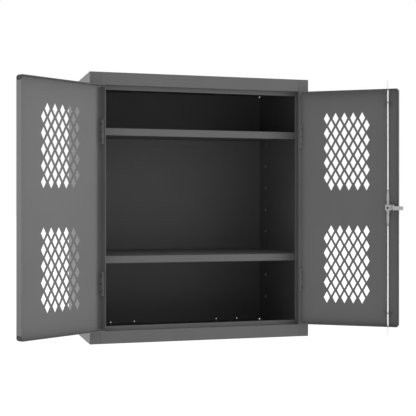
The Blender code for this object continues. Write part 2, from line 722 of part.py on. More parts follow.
def inward_turned(name, profile, centre=(0.0, 0.0), sides=SIDES):
    """A shape turned from (radius, depth) points about an axis that runs inwards through the door."""
    piece = turned(name, profile[::-1], sides)
    piece.modifiers["lathe"].axis = "Y"
    piece.data.transform(Matrix.Rotation(-pi / 2, 4, "X"))
    piece.location = latch_point(centre[0], 0.0, centre[1])
    return piece


def square(half):
    """The points of a square."""
    return [(half, half), (-half, half), (-half, -half), (half, -half)]


def make_rod_guides(pivot):
    """Two angle tabs inside the right door that steady the rods."""
    half = SHEET / 2
    foot_depth = SHEET + SEAM
    tab_tip = foot_depth + GUIDE_TAB
    for word, up in (("lower", -1), ("upper", 1)):
        level = DOOR_HIGH - GUIDE_FROM_DOOR_END if up > 0 else DOOR_LOW + GUIDE_FROM_DOOR_END
        start = door_point(-1, LATCH_TO_HINGE - GUIDE_WIDTH / 2, foot_depth + half, level - up * GUIDE_FOOT)
        path = [start, door_point(-1, LATCH_TO_HINGE - GUIDE_WIDTH / 2, foot_depth + half, level),
                door_point(-1, LATCH_TO_HINGE - GUIDE_WIDTH / 2, tab_tip, level)]
        guide = folded_sheet("rod_guide_" + word, path, (-GUIDE_WIDTH, 0, 0))
        slot = rod_slot("rod_guide_slot_" + word, door_point(-1, LATCH_TO_HINGE, ROD_DEPTH, level))
        combine(guide, slot, "DIFFERENCE", pivot)
        add_part(guide, PAINT, pivot)


def make_handle(axis):
    """What the right door carries on the handle's spindle, outside and inside."""
    outer_face = -SEAM - ESCUTCHEON_THICKNESS - SEAM
    boss_end = outer_face - BOSS_LENGTH
    lever = inward_turned("lever_handle", [(0, boss_end), (BOSS_RADIUS, boss_end),
                                           (BOSS_RADIUS, outer_face), (0, outer_face)],
                          sides=FINE_SIDES)
    arm_inner = boss_end + LEVER_THICKNESS
    arm = box("lever_arm", latch_point(LEVER_WIDTH / 2, boss_end, -LEVER_LENGTH),
              latch_point(-LEVER_WIDTH / 2, arm_inner, 0.0))
    rounding = arm.modifiers.new("rounding", "BEVEL")
    rounding.width = LEVER_EDGE
    rounding.segments = 2
    combine(lever, arm, "UNION", axis)
    seat = bar("lever_spindle_seat", (0, outer_face + OVERRUN, 0), (0, outer_face - SPINDLE_SEAT, 0),
               SPINDLE_RADIUS + SPINDLE_CLEARANCE)
    combine(lever, seat, "DIFFERENCE", axis)
    recess = bar("lever_plug_recess", (0, boss_end - OVERRUN, 0),
                 (0, boss_end + PLUG_LENGTH + SPINDLE_CLEARANCE, 0), PLUG_RADIUS + SPINDLE_CLEARANCE,
                 FINE_SIDES)
    combine(lever, recess, "DIFFERENCE", axis)
    shade_round(lever)
    add_part(lever, CHROME, axis)
    make_plug(axis, boss_end)
    make_spindle(axis, outer_face - SPINDLE_SEAT + SEAM)


def make_plug(axis, boss_end):
    """The lock plug in the lever's boss, with its keyway, on an axis of its own."""
    plug_axis = add_empty("lock_plug_axis", (0, 0, 0), parent=axis)
    face = boss_end - PLUG_PROUD
    plug = inward_turned("lock_plug", [(0, face), (PLUG_RADIUS, face),
                                       (PLUG_RADIUS, boss_end + PLUG_LENGTH),
                                       (0, boss_end + PLUG_LENGTH)], sides=FINE_SIDES)
    keyway = box("lock_plug_keyway", (-KEYWAY_WIDTH / 2, face - OVERRUN, -KEYWAY_HEIGHT / 2),
                 (KEYWAY_WIDTH / 2, face + KEYWAY_DEPTH, KEYWAY_HEIGHT / 2))
    combine(plug, keyway, "DIFFERENCE", plug_axis)
    shade_round(plug)
    add_part(plug, BRASS, plug_axis)


def make_spindle(axis, outer_end):
    """The spindle: round through the door, square under the crank and pawl, and tapped."""
    shoulder = CRANK_DEPTH - SEAM
    inner_end = PAWL_DEPTH + PAWL_THICKNESS - SEAM
    spindle = bar("spindle", (0, outer_end, 0), (0, shoulder, 0), SPINDLE_RADIUS)
    half = SPINDLE_SQUARE / 2
    seat = box("spindle_square", (-half, shoulder - OVERRUN, -half), (half, inner_end, half))
    combine(spindle, seat, "UNION", axis)
    tap = bar("spindle_tap", (0, inner_end - LATCH_SCREW_LENGTH, 0), (0, inner_end + OVERRUN, 0),
              LATCH_SCREW_RADIUS + SPINDLE_CLEARANCE, BOLT_SIDES)
    combine(spindle, tap, "DIFFERENCE", axis)
    shade_round(spindle)
    add_part(spindle, ZINC, axis)


def crank_outline():
    """The crank's outline: a wide middle, and two tapered arms with round ends."""
    half = CRANK_ARM_WIDTH / 2
    middle = CRANK_MIDDLE_HEIGHT / 2
    points = []
    for up in (1, -1):
        points += [(up * CRANK_WIDTH / 2, up * middle), (up * half, up * (middle + CRANK_TAPER))]
        for step in range(2 * CORNER_STEPS + 1):
            turn = pi * step / (2 * CORNER_STEPS)
            points.append((up * half * cos(turn), up * (CRANK_RADIUS + half * sin(turn))))
        points += [(-up * half, up * (middle + CRANK_TAPER)), (-up * CRANK_WIDTH / 2, up * middle)]
    return points


def make_crank(axis):
    """The crank plate, its two pins, the hub, the pawl, and the plate and screw that clamp them."""
    square_hole = square(SPINDLE_SQUARE / 2 + SPINDLE_CLEARANCE)
    holes = [circle(CRANK_PIN_RADIUS + SPINDLE_CLEARANCE, (0.0, up * CRANK_RADIUS), BOLT_SIDES)
             for up in (-1, 1)]
    crank = flat_shape("latch_crank", [crank_outline(), square_hole] + holes, CRANK_THICKNESS)
    add_part(stand_up(crank, CRANK_DEPTH), ZINC, axis)
    hub = flat_shape("latch_hub", [rounded_rectangle(HUB_WIDTH / 2, HUB_HEIGHT / 2, HUB_CORNER),
                                   square_hole], PAWL_DEPTH - HUB_DEPTH - SEAM)
    add_part(stand_up(hub, HUB_DEPTH), ZINC, axis)
    make_pawl(axis)
    clamp_depth = PAWL_DEPTH + PAWL_THICKNESS + SEAM
    clamp = flat_shape("latch_clamp_plate", [
        rounded_rectangle(CLAMP_WIDTH / 2, CLAMP_HEIGHT / 2, CLAMP_CORNER),
        circle(LATCH_SCREW_RADIUS + SPINDLE_CLEARANCE, sides=BOLT_SIDES)], CLAMP_THICKNESS)
    add_part(stand_up(clamp, clamp_depth), ZINC, axis)
    head_depth = clamp_depth + CLAMP_THICKNESS + SEAM
    screw_tip = PAWL_DEPTH + PAWL_THICKNESS - LATCH_SCREW_LENGTH + SEAM
    screw = inward_turned("latch_screw", [(0, screw_tip), (LATCH_SCREW_RADIUS, screw_tip),
                                          (LATCH_SCREW_RADIUS, head_depth),
                                          (LATCH_SCREW_HEAD_RADIUS, head_depth),
                                          (LATCH_SCREW_HEAD_RADIUS, head_depth + LATCH_SCREW_HEAD),
                                          (0, head_depth + LATCH_SCREW_HEAD)])
    socket = bar("latch_screw_socket", (0, head_depth + LATCH_SCREW_HEAD - LATCH_SCREW_SOCKET, 0),
                 (0, head_depth + LATCH_SCREW_HEAD + OVERRUN, 0), LATCH_SCREW_SOCKET_RADIUS, HEXAGON)
    combine(screw, socket, "DIFFERENCE", axis)
    shade_round(screw)
    add_part(screw, BLACK, axis)
    back_face = CRANK_DEPTH - SEAM
    front_face = CRANK_DEPTH + CRANK_THICKNESS + 2 * SEAM + ROD_EYE_THICKNESS
    for word, up in (("lower", -1), ("upper", 1)):
        pin = inward_turned("crank_pin_" + word, [
            (0, back_face - CRANK_PIN_HEAD), (CRANK_PIN_HEAD_RADIUS, back_face - CRANK_PIN_HEAD),
            (CRANK_PIN_HEAD_RADIUS, back_face), (CRANK_PIN_RADIUS, back_face),
            (CRANK_PIN_RADIUS, front_face), (CRANK_PIN_HEAD_RADIUS, front_face),
            (CRANK_PIN_HEAD_RADIUS, front_face + CRANK_PIN_HEAD), (0, front_face + CRANK_PIN_HEAD)],
            (0.0, up * CRANK_RADIUS), BOLT_SIDES)
        shade_round(pin)
        add_part(pin, ZINC, axis)


def make_pawl(axis):
    """The pawl: a plate on the hub, a step over the door's flange, and a finger past its edge."""
    half = PAWL_THICKNESS / 2
    near = PAWL_DEPTH + half
    far = PAWL_HOOK_DEPTH + half
    path = [latch_point(across, depth, -PAWL_BOTTOM) for across, depth in (
        (-PAWL_TAIL, near), (PAWL_BEND_START, near), (PAWL_BEND_START + PAWL_BEND_RUN, far),
        (PAWL_REACH, far))]
    pawl = folded_sheet("pawl", path, (0, 0, PAWL_BOTTOM + PAWL_SHOULDER_TOP), PAWL_THICKNESS)
    past_tip = PAWL_REACH + OVERRUN
    past_top = PAWL_SHOULDER_TOP + OVERRUN
    trim = flat_shape("pawl_finger_trim", [[(PAWL_SHOULDER_END, past_top),
                                            (PAWL_SHOULDER_END, PAWL_SHOULDER_TOP),
                                            (PAWL_FINGER_START, PAWL_FINGER_TOP),
                                            (past_tip, PAWL_FINGER_TOP), (past_tip, past_top)]],
                      PAWL_THICKNESS + 2 * OVERRUN)
    combine(pawl, stand_up(trim, PAWL_HOOK_DEPTH - OVERRUN), "DIFFERENCE", axis)
    hole_half = SPINDLE_SQUARE / 2 + SPINDLE_CLEARANCE
    hole = box("pawl_square_hole", (-hole_half, PAWL_DEPTH - OVERRUN, -hole_half),
               (hole_half, PAWL_DEPTH + PAWL_THICKNESS + OVERRUN, hole_half))
    combine(pawl, hole, "DIFFERENCE", axis)
    add_part(pawl, ZINC, axis)


def make_rods(axis):
    """The two latch rods, each with an eye on its crank pin."""
    tip = DOOR_HIGH - MIDDLE + ROD_THROW - CRANK_RADIUS
    for word, up in (("lower", -1), ("upper", 1)):
        pivot = add_empty(word + "_rod_axis", latch_point(0, 0, up * CRANK_RADIUS), parent=axis)
        neck = [(ROD_RADIUS * ROD_NECK_SHARE, ROD_NECK), (-ROD_RADIUS * ROD_NECK_SHARE, ROD_NECK)]
        first, sweep = ROD_EYE_TURN_SHARES
        turns = [2 * pi * (first + sweep * step / SIDES) for step in range(SIDES + 1)]
        arc = [(ROD_EYE_RADIUS * cos(turn), ROD_EYE_RADIUS * sin(turn)) for turn in turns]
        eye = flat_shape("rod_" + word, [neck + arc,
                                         circle(CRANK_PIN_RADIUS + SPINDLE_CLEARANCE,
                                                sides=BOLT_SIDES)],
                         ROD_EYE_THICKNESS)
        stand_up(eye, ROD_DEPTH - ROD_EYE_THICKNESS / 2)
        shaft = turned("rod_shaft_" + word, [(0, tip), (ROD_RADIUS - ROD_TIP_CHAMFER, tip),
                                             (ROD_RADIUS, tip - ROD_TIP_CHAMFER),
                                             (ROD_RADIUS, ROD_NECK - OVERRUN), (0, ROD_NECK - OVERRUN)])
        shaft.location = (0, ROD_DEPTH, 0)
        combine(eye, shaft, "UNION", pivot)
        if up < 0:
            pivot.rotation_euler = (0, pi, 0)
        shade_round(eye)
        add_part(eye, ZINC, pivot)


def make_latch_plates(pivot):
    """The escutcheon outside the right door and the spindle's housing inside it."""
    centre = door_point(-1, LATCH_TO_HINGE, 0, MIDDLE)
    bore = circle(SPINDLE_RADIUS + SPINDLE_CLEARANCE)
    plate = flat_shape("handle_escutcheon", [
        rounded_rectangle(ESCUTCHEON_WIDTH / 2, ESCUTCHEON_HEIGHT / 2,
                          ESCUTCHEON_WIDTH / 2 * ESCUTCHEON_ROUND_SHARE, (0.0, -ESCUTCHEON_DROP)),
        bore], ESCUTCHEON_THICKNESS)
    stand_up(plate, -SEAM - ESCUTCHEON_THICKNESS)
    plate.location = centre
    add_part(plate, CHROME, pivot)
    housing = flat_shape("spindle_housing", [circle(HOUSING_RADIUS, sides=FINE_SIDES), bore],
                         HOUSING_THICKNESS)
    stand_up(housing, SHEET + SEAM)
    housing.location = centre
    shade_round(housing)
    add_part(housing, ZINC, pivot)


for old in list(bpy.data.objects):
    bpy.data.objects.remove(old, do_unlink=True)

PARTS = new_collection("ventilated_cabinet")
TOOLS = new_collection("cutting_tools")
PAINT = make_material("grey_powder_coat", (0.152, 0.155, 0.157), 0.5, 0.0)
ZINC = make_material("zinc_plated_steel", (0.6, 0.6, 0.59), 0.35, 1.0)
BLACK = make_material("black_oxide_steel", (0.04, 0.04, 0.042), 0.45, 1.0)
CHROME = make_material("satin_chrome", (0.55, 0.56, 0.57), 0.28, 1.0)
BRASS = make_material("nickelled_brass", (0.5, 0.45, 0.34), 0.3, 1.0)

make_panels()
make_rails()
make_stiles()
make_shelves()
make_clips()
for door_word, door_side in (("left", 1), ("right", -1)):
    door_axis = add_empty("door_%s_axis" % door_word, (-door_side * PIN_X, PIN_Y, 0.0),
                          -door_side * DOOR_OPEN_ANGLE)
    make_door(door_word, door_side, door_axis)
    make_hinges(door_word, door_side, door_axis)
make_rod_guides(door_axis)
make_latch_plates(door_axis)
handle_axis = add_empty("handle_axis", door_point(-1, LATCH_TO_HINGE, 0, MIDDLE), parent=door_axis)
make_handle(handle_axis)
make_crank(handle_axis)
make_rods(handle_axis)
bpy.context.view_layer.update()
print("pieces:", len([item for item in PARTS.objects if item.type == "MESH"]))
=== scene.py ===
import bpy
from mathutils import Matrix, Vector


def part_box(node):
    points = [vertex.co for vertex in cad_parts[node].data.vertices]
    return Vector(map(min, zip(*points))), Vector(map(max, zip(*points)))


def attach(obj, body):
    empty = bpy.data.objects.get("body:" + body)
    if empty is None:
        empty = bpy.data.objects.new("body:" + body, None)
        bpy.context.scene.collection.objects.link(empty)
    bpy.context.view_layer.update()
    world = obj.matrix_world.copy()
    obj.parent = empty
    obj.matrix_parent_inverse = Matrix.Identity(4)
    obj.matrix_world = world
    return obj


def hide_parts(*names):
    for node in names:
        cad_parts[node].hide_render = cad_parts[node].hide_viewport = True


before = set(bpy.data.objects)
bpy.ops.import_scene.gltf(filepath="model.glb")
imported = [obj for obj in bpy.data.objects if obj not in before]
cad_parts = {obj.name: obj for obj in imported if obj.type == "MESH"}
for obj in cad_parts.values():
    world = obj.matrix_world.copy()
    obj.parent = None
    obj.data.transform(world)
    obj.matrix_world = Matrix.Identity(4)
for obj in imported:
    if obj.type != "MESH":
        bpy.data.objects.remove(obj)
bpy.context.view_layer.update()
print("solids:", len(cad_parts))

# %% [markdown]
# # A ventilated steel cabinet
# The solids in model.glb are right in size and place, but plain: every edge is
# razor sharp and every bend is square. Real sheet metal never is. This lesson replaces the bent
# parts with sheets that have true bend radii, softens every other edge a little, and gives each
# surface the finish that it has in the workshop.

# %% Tools that the whole lesson uses
from math import copysign, cos, pi, radians, sin, tan

import bmesh
import bpy
from mathutils import Matrix, Vector

MM = 0.001
ACROSS, BACKWARD, UPWARD = (1, 0, 0), (0, 1, 0), (0, 0, 1)
FORWARD, DOWNWARD = (0, -1, 0), (0, 0, -1)

# %% [markdown]
# ## The camera first
# The picture was taken level, from a little to the left, with a long lens. A long lens keeps
# upright lines upright and makes the depth look shallow. Placing the camera before anything
# else means that every later test render can be laid beside the photograph.

# %% Camera
camera = bpy.data.objects.new("camera", bpy.data.cameras.new("camera"))
bpy.context.scene.collection.objects.link(camera)
camera.data.sensor_width = 36.0
camera.data.lens = 82.27
camera.location = (-1.0384, -3.9988, 0.5331)
camera.rotation_euler = (radians(90), 0.0, radians(-16.031))
bpy.context.scene.camera = camera
print("camera stands", round(-camera.location.y, 2), "m in front of the cabinet's middle")

# %% [markdown]
# ## Colours and shader nodes
# Colours are written as they are seen on a screen, in hexadecimal. Shaders work in linear
# light, so one function turns the one into the other. A second small function adds a node,
# sets its values and plugs in its links. Every material below is built with these tools.


# %% Helpers for materials
def linear(hex_colour):
    """Turn a colour such as "6a6a6a" into linear red, green, blue and alpha."""
    parts = [int(hex_colour[start:start + 2], 16) / 255 for start in (0, 2, 4)]
    light = [c / 12.92 if c <= 0.04045 else ((c + 0.055) / 1.055) ** 2.4 for c in parts]
    return (*light, 1.0)


def shaded(colour, factor):
    """A linear colour made lighter or darker by a factor."""
    return [min(1.0, c * factor) for c in colour[:3]] + [1.0]


def add_node(material, kind, settings=None, **links):
    """Add a node. Settings are its own values, and links are its inputs: a value or a socket."""
    tree = material.node_tree
    node = tree.nodes.new("ShaderNode" + kind)
    for name, value in (settings or {}).items():
        setattr(node, name, value)
    for name, value in links.items():
        socket = node.inputs[int(name[1:]) if name[1:].isdigit() else name.replace("_", " ")]
        if isinstance(value, bpy.types.NodeSocket):
            tree.links.new(value, socket)
        else:
            socket.default_value = value
    return node


def new_material(name):
    """A material with one empty Principled shader, which is returned as well."""
    material = bpy.data.materials.new(name)
    material.use_nodes = True
    return material, material.node_tree.nodes["Principled BSDF"]


print("mid grey 808080 in linear light:", round(linear("808080")[0], 3))

# %% [markdown]
# ## Grey powder coat
# The body is welded from steel sheet and coated with dry polyester powder, which melts in an
# oven to a skin about 0.08 mm thick. As it flows it stays faintly uneven, like the peel of an
# orange, with dimples 1 to 2 mm apart. To the eye that gives a soft satin sheen without any
# clear reflection. One layer of noise feeds a bump for the peel, and a finer one varies the
# roughness. A third, much larger one shifts the grey by a hair, as a hand-held spray gun does.


# %% Powder coat
def powder_coat(name, hex_colour):
    """Satin polyester powder on steel: soft sheen, faint orange peel."""
    material, shader = new_material(name)
    place = add_node(material, "TexCoord").outputs["Object"]
    peel = add_node(material, "TexNoise", Vector=place, Scale=1 / (1.6 * MM), Detail=2.0)
    grain = add_node(material, "TexNoise", Vector=place, Scale=1 / (0.45 * MM), Detail=1.0)
    cloud = add_node(material, "TexNoise", Vector=place, Scale=1 / (140 * MM), Detail=3.0)
    shade = add_node(material, "ValToRGB", Fac=cloud.outputs["Fac"])
    base = linear(hex_colour)
    shade.color_ramp.elements[0].position = 0.3
    shade.color_ramp.elements[0].color = shaded(base, 0.965)
    shade.color_ramp.elements[1].position = 0.7
    shade.color_ramp.elements[1].color = shaded(base, 1.035)
    rough = add_node(material, "MapRange", _0=grain.outputs["Fac"], _3=0.43, _4=0.53)
    bump = add_node(material, "Bump", Height=peel.outputs["Fac"], Strength=0.35,
                    Distance=0.05 * MM)
    tree = material.node_tree
    tree.links.new(shade.outputs["Color"], shader.inputs["Base Color"])
    tree.links.new(rough.outputs["Result"], shader.inputs["Roughness"])
    tree.links.new(bump.outputs["Normal"], shader.inputs["Normal"])
    shader.inputs["IOR"].default_value = 1.5
    return material


COAT = powder_coat("powder_coated_steel", "6d6d6d")
print("made", COAT.name)

# %% [markdown]
# ## Zinc-plated steel
# The rods, the pawl and the pins are plated with zinc. The plating is bright but not a mirror: it
# follows the marks of drawing, stamping and handling in the steel below, so the shine breaks up
# into parts that are a little lighter and darker. A Voronoi pattern gives such patches. The real
# ones are too fine to show in the picture, so they are drawn 1 to 3 mm wide. As for any metal,
# the colour sits in the reflection, so Metallic is 1 and the IOR is left alone. The round bar is
# drawn bright before it is plated. The flat stamped parts are tumbled in bulk and come out
# rougher. A second zinc, rougher and with a darker grey that is painted shade, goes on the parts
# round the crank: the forged rod ends, the crank rivets, the pawl and the latch's small parts.
# The screws' black oxide, the handle's satin chromium and the lock plug's nickelled brass
# follow the same recipe, each with its own grey, roughness and size of patch.


# %% Plated finishes
def plated(name, hex_colour, roughness, patch):
    """A plated metal whose shine breaks up in patches of this size."""
    material, shader = new_material(name)
    place = add_node(material, "TexCoord").outputs["Object"]
    patches = add_node(material, "TexVoronoi", Vector=place, Scale=1 / patch)
    grey = add_node(material, "RGBToBW", Color=patches.outputs["Color"])
    shade = add_node(material, "ValToRGB", Fac=grey.outputs["Val"])
    base = linear(hex_colour)
    shade.color_ramp.elements[0].color = shaded(base, 0.9)
    shade.color_ramp.elements[1].color = shaded(base, 1.08)
    rough = add_node(material, "MapRange", _0=grey.outputs["Val"], _3=roughness * 0.85,
                     _4=roughness * 1.2)
    fine = add_node(material, "TexNoise", Vector=place, Scale=1 / (0.3 * MM))
    bump = add_node(material, "Bump", Height=fine.outputs["Fac"], Strength=0.2,
                    Distance=0.01 * MM)
    tree = material.node_tree
    tree.links.new(shade.outputs["Color"], shader.inputs["Base Color"])
    tree.links.new(rough.outputs["Result"], shader.inputs["Roughness"])
    tree.links.new(bump.outputs["Normal"], shader.inputs["Normal"])
    shader.inputs["Metallic"].default_value = 1.0
    return material


ZINC = plated("bright_zinc_plating", "e9eaea", 0.36, 3 * MM)
# A rougher zinc whose darker grey is painted shade round the crank.
SHADED_DULL_ZINC = plated("dull_zinc_painted_shade", "a9aaab", 0.46, 2 * MM)
BLACK_OXIDE = plated("black_oxide_on_steel", "38383a", 0.42, 1.5 * MM)
CHROME = plated("satin_chromium_plating", "c9cbce", 0.22, 0.8 * MM)
NICKEL = plated("nickel_on_brass", "c3b796", 0.26, 1.2 * MM)
FINISH = {"grey_powder_coat": COAT, "zinc_plated_steel": ZINC, "black_oxide_steel": BLACK_OXIDE,
          "satin_chrome": CHROME, "nickelled_brass": NICKEL}
print("finishes:", sorted(FINISH))

# %% [markdown]
# ## Floor, background and light
# Such a picture is taken on a white sweep in soft, even light, with a little more from the
# right and a weak lamp behind on the left, which picks out the edge of the left door. What the
# camera and the shiny metal see around the object is plain white, through Light Path. The light
# that falls on the object is quieter, and stronger from overhead than from the sides, like a big
# soft box under the ceiling. It puts a soft shade under the flanges at the doors' top edges. The
# sweep glows, as white paper under such a lamp does, so inside the bays the light comes mostly
# from below. It is diffuse as well, so it keeps a faint shadow under the cabinet.


# %% Stage
WHITE = (1, 1, 1, 1)


def seen_directly(material):
    """1 for what the camera, a reflection or glass sees, and 0 for all other light."""
    path = add_node(material, "LightPath").outputs
    either = add_node(material, "Math", {"operation": "MAXIMUM"}, _0=path["Is Camera Ray"],
                      _1=path["Is Glossy Ray"])
    return add_node(material, "Math", {"operation": "MAXIMUM"}, _0=either.outputs[0],
                    _1=path["Is Transmission Ray"]).outputs[0]


world = bpy.data.worlds.new("white_surround")
bpy.context.scene.world = world
world.use_nodes = True
direction = add_node(world, "TexCoord").outputs["Generated"]
upward = add_node(world, "SeparateXYZ", Vector=direction).outputs["Z"]
overhead = add_node(world, "MapRange", {"interpolation_type": "SMOOTHSTEP"}, _0=upward, _1=0.25,
                    _2=0.7, _3=0.22, _4=0.84)
dim = add_node(world, "Background", Color=WHITE, Strength=overhead.outputs["Result"])
bright = add_node(world, "Background", Color=WHITE, Strength=1.0)
mixed = add_node(world, "MixShader", _0=seen_directly(world), _1=dim.outputs[0],
                 _2=bright.outputs[0])
world.node_tree.links.new(mixed.outputs[0], world.node_tree.nodes["World Output"].inputs["Surface"])

floor_material, floor_shader = new_material("white_sweep")
floor_shader.inputs["Base Color"].default_value = linear("969696")
floor_shader.inputs["Emission Color"].default_value = WHITE
floor_shader.inputs["Emission Strength"].default_value = 0.42
floor_shader.inputs["Roughness"].default_value = 0.9
lit = add_node(floor_material, "BsdfDiffuse", Color=(0.42, 0.42, 0.42, 1))
glow = add_node(floor_material, "Emission", Color=WHITE, Strength=0.88)
shown = add_node(floor_material, "AddShader", _0=lit.outputs[0], _1=glow.outputs[0])
mixed = add_node(floor_material, "MixShader", _0=seen_directly(floor_material),
                 _1=floor_shader.outputs["BSDF"], _2=shown.outputs[0])
tree = floor_material.node_tree
tree.links.new(mixed.outputs[0], tree.nodes["Material Output"].inputs["Surface"])

# The sweep ends far away, white against white, so its edge doesn't show.
floor_mesh = bpy.data.meshes.new("floor")
floor_corners = [(-40, -20, 0), (40, -20, 0), (40, 60, 0), (-40, 60, 0)]
floor_mesh.from_pydata(floor_corners, [], [(0, 1, 2, 3)])
floor = bpy.data.objects.new("floor", floor_mesh)
floor_mesh.materials.append(floor_material)
bpy.context.scene.collection.objects.link(floor)


def add_lamp(name, place, aim, size, power):
    """A square soft box that points at a spot."""
    light = bpy.data.lights.new(name, "AREA")
    light.size = size
    light.energy = power
    lamp = bpy.data.objects.new(name, light)
    bpy.context.scene.collection.objects.link(lamp)
    lamp.location = place
    lamp.rotation_euler = (Vector(aim) - Vector(place)).to_track_quat("-Z", "Y").to_euler()


add_lamp("soft_box_on_the_right", (4.0, -2.5, 0.9), (-0.3, -0.4, 0.5), 2.2, 56)
add_lamp("soft_box_behind_on_the_left", (-4.5, 0.85, 0.8), (-0.6, -0.3, 0.5), 2.0, 32)
bpy.context.scene.view_settings.view_transform = "Standard"

# %% [markdown]
# ## Bent sheet
# A press brake bends sheet round a punch, so the inside of each bend has a radius of about the
# sheet's own thickness and the outside a radius one thickness larger. Drawing the middle line of
# the profile, rounding its corners and giving it thickness on both sides makes just that.
# Extruding the outline is the same as cutting the profile to length.

# %% Sizes of the sheet metal
SHEET = 1.9 * MM
BEND = 1.3 * MM
EDGE = 0.35 * MM
FINE_EDGE = 0.25 * MM
print("outer radius of a bend:", round((BEND + SHEET) / MM, 2), "mm")


# %% Round the corners of a line
def rounded_line(points, radius, steps=5, closed=False):
    """Points with their directions along a line whose corners are arcs."""
    points = [Vector(point) for point in points]
    if closed:
        corners = zip(points[-1:] + points[:-1], points, points[1:] + points[:1])
        line = []
    else:
        corners = zip(points, points[1:], points[2:])
        line = [(points[0], (points[1] - points[0]).normalized())]
    for before, corner, after in corners:
        into = (corner - before).normalized()
        turn = into.angle((after - corner).normalized())
        axis = into.cross(after - corner).normalized()
        start = corner - into * radius * tan(turn / 2)
        centre = start + axis.cross(into) * radius
        for step in range(steps + 1):
            spin = Matrix.Rotation(turn * step / steps, 3, axis)
            line.append((centre + spin @ (start - centre), spin @ into))
    if not closed:
        line.append((points[-1], (points[-1] - points[-2]).normalized()))
    return line


def rounded_outline(corners, radius, steps):
    """The points of a closed line whose corners are arcs."""
    return [point for point, direction in rounded_line(corners, radius, steps, True)]


# %% Make a bent sheet
def object_from(name, shape):
    """Turn a bmesh into an object in the scene."""
    mesh = bpy.data.meshes.new(name)
    bmesh.ops.recalc_face_normals(shape, faces=shape.faces)
    shape.to_mesh(mesh)
    shape.free()
    piece = bpy.data.objects.new(name, mesh)
    bpy.context.scene.collection.objects.link(piece)
    return piece


def skin(shape, loops):
    """Join closed loops of equally many points into one closed body."""
    before = None
    for loop in loops:
        ring = [shape.verts.new(point) for point in loop]
        if before:
            for one in range(len(ring)):
                other = (one + 1) % len(ring)
                shape.faces.new((before[one], before[other], ring[other], ring[one]))
        else:
            shape.faces.new(ring)
        before = ring
    shape.faces.new(before[::-1])


def strip(shape, line, along, gauge):
    """Add a strip of sheet that follows a line, and is as long as a vector, to a bmesh."""
    run = Vector(along)
    loops = []
    for point, direction in line:
        out = run.normalized().cross(direction) * gauge / 2
        loops.append((point + out, point - out, point - out + run, point + out + run))
    skin(shape, loops)


def bent_sheet(name, path, along, gauge=SHEET, radius=BEND):
    """A sheet bent along the path of its middle surface, and as long as a vector."""
    shape = bmesh.new()
    strip(shape, rounded_line(path, radius + gauge / 2), along, gauge)
    return object_from(name, shape)


# %% Cut, finish and hand over a piece
def apply_modifiers(piece):
    """Turn the modifiers into plain geometry."""
    graph = bpy.context.evaluated_depsgraph_get()
    mesh = bpy.data.meshes.new_from_object(piece.evaluated_get(graph))
    piece.modifiers.clear()
    old = piece.data
    piece.data = mesh
    bpy.data.meshes.remove(old)


def cut(piece, tool_shape, operation="DIFFERENCE"):
    """Cut a piece with the closed shapes of a bmesh."""
    tool = object_from("cutter", tool_shape)
    step = piece.modifiers.new("cut", "BOOLEAN")
    step.operation = operation
    step.solver = "EXACT"
    step.object = tool
    apply_modifiers(piece)
    bpy.data.objects.remove(tool, do_unlink=True)


def even_shading(piece, keep_sharp=False):
    """Let the large faces set the shading, so that flat sheet looks flat."""
    weighted = piece.modifiers.new("even shading", "WEIGHTED_NORMAL")
    weighted.weight = 60
    weighted.keep_sharp = keep_sharp


def soften(piece, width=EDGE):
    """Round every sharp edge a little and let the shading follow."""
    piece.data.shade_smooth()
    edges = piece.modifiers.new("soft edges", "BEVEL")
    edges.width = width
    edges.segments = 2
    edges.limit_method = "ANGLE"
    edges.angle_limit = radians(38)
    edges.miter_outer = "MITER_ARC"
    even_shading(piece)


def shade_smoothly(piece, crease=35):
    """Shade a piece smoothly, but not where faces meet at more than an angle in degrees."""
    piece.data.shade_smooth()
    piece.data.set_sharp_from_angle(angle=radians(crease))


def hand_over(piece, finish, body, *nodes, material=None):
    """Give a piece its finish, let it ride on its body, and hide the solids it stands in for."""
    piece.data.materials.clear()
    piece.data.materials.append(material or FINISH[finish])
    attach(piece, body)
    if nodes:
        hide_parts(*nodes)
    print(piece.name, "rides on", body)


# %% Add prisms to a cutter
CORNER_SIGNS = ((-1, -1), (1, -1), (1, 1), (-1, 1))


def prism(shape, outline, along):
    """Add a straight prism from its outline and length to a bmesh."""
    low = [shape.verts.new(point) for point in outline]
    high = [shape.verts.new(Vector(point) + Vector(along)) for point in outline]
    shape.faces.new(low)
    shape.faces.new(high[::-1])
    for one in range(len(low)):
        other = (one + 1) % len(low)
        shape.faces.new((low[other], low[one], high[one], high[other]))


def block(shape, low, high):
    """Add a box between two corners to a bmesh."""
    (x0, y0, z0), (x1, y1, z1) = low, high
    prism(shape, [(x0, y0, z0), (x1, y0, z0), (x1, y1, z0), (x0, y1, z0)], (0, 0, z1 - z0))


def ring_of(centre, radius, one, other, sides=24):
    """The points of a circle in the plane of two directions."""
    return [Vector(centre) + radius * (cos(2 * pi * step / sides) * Vector(one) +
                                       sin(2 * pi * step / sides) * Vector(other))
            for step in range(sides)]


# %% [markdown]
# ## Header and sill
# The front frame's upper and lower rails are single bent sheets: a face, a ledge that goes back
# over the opening, and a narrow strip at the back of the ledge that the doors close against.

# %% Sizes of the front frame
rail_low, rail_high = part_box("header_rail")
front = rail_low.y
frame_depth = rail_high.y - rail_low.y
height = rail_high.z
rail_height = 50.8 * MM
rail_stop = height - rail_height - rail_low.z
half_opening = rail_high.x
print("opening:", round(2 * half_opening / MM, 1), "mm wide")

# %% Rails
LATCH_X = 0.0492
ROD_DEPTH = 0.0188
ROD_SLOT_ROUND = 4.7 * MM


def rod_slot(centre, across, inward):
    """Outline of a slot of 21.6 by 9.6 mm that a latch rod runs through."""
    long = Vector(across) * 10.8 * MM
    short = Vector(inward) * 4.8 * MM
    corners = [Vector(centre) + long * x + short * y for x, y in CORNER_SIGNS]
    return rounded_outline(corners, ROD_SLOT_ROUND, 6)


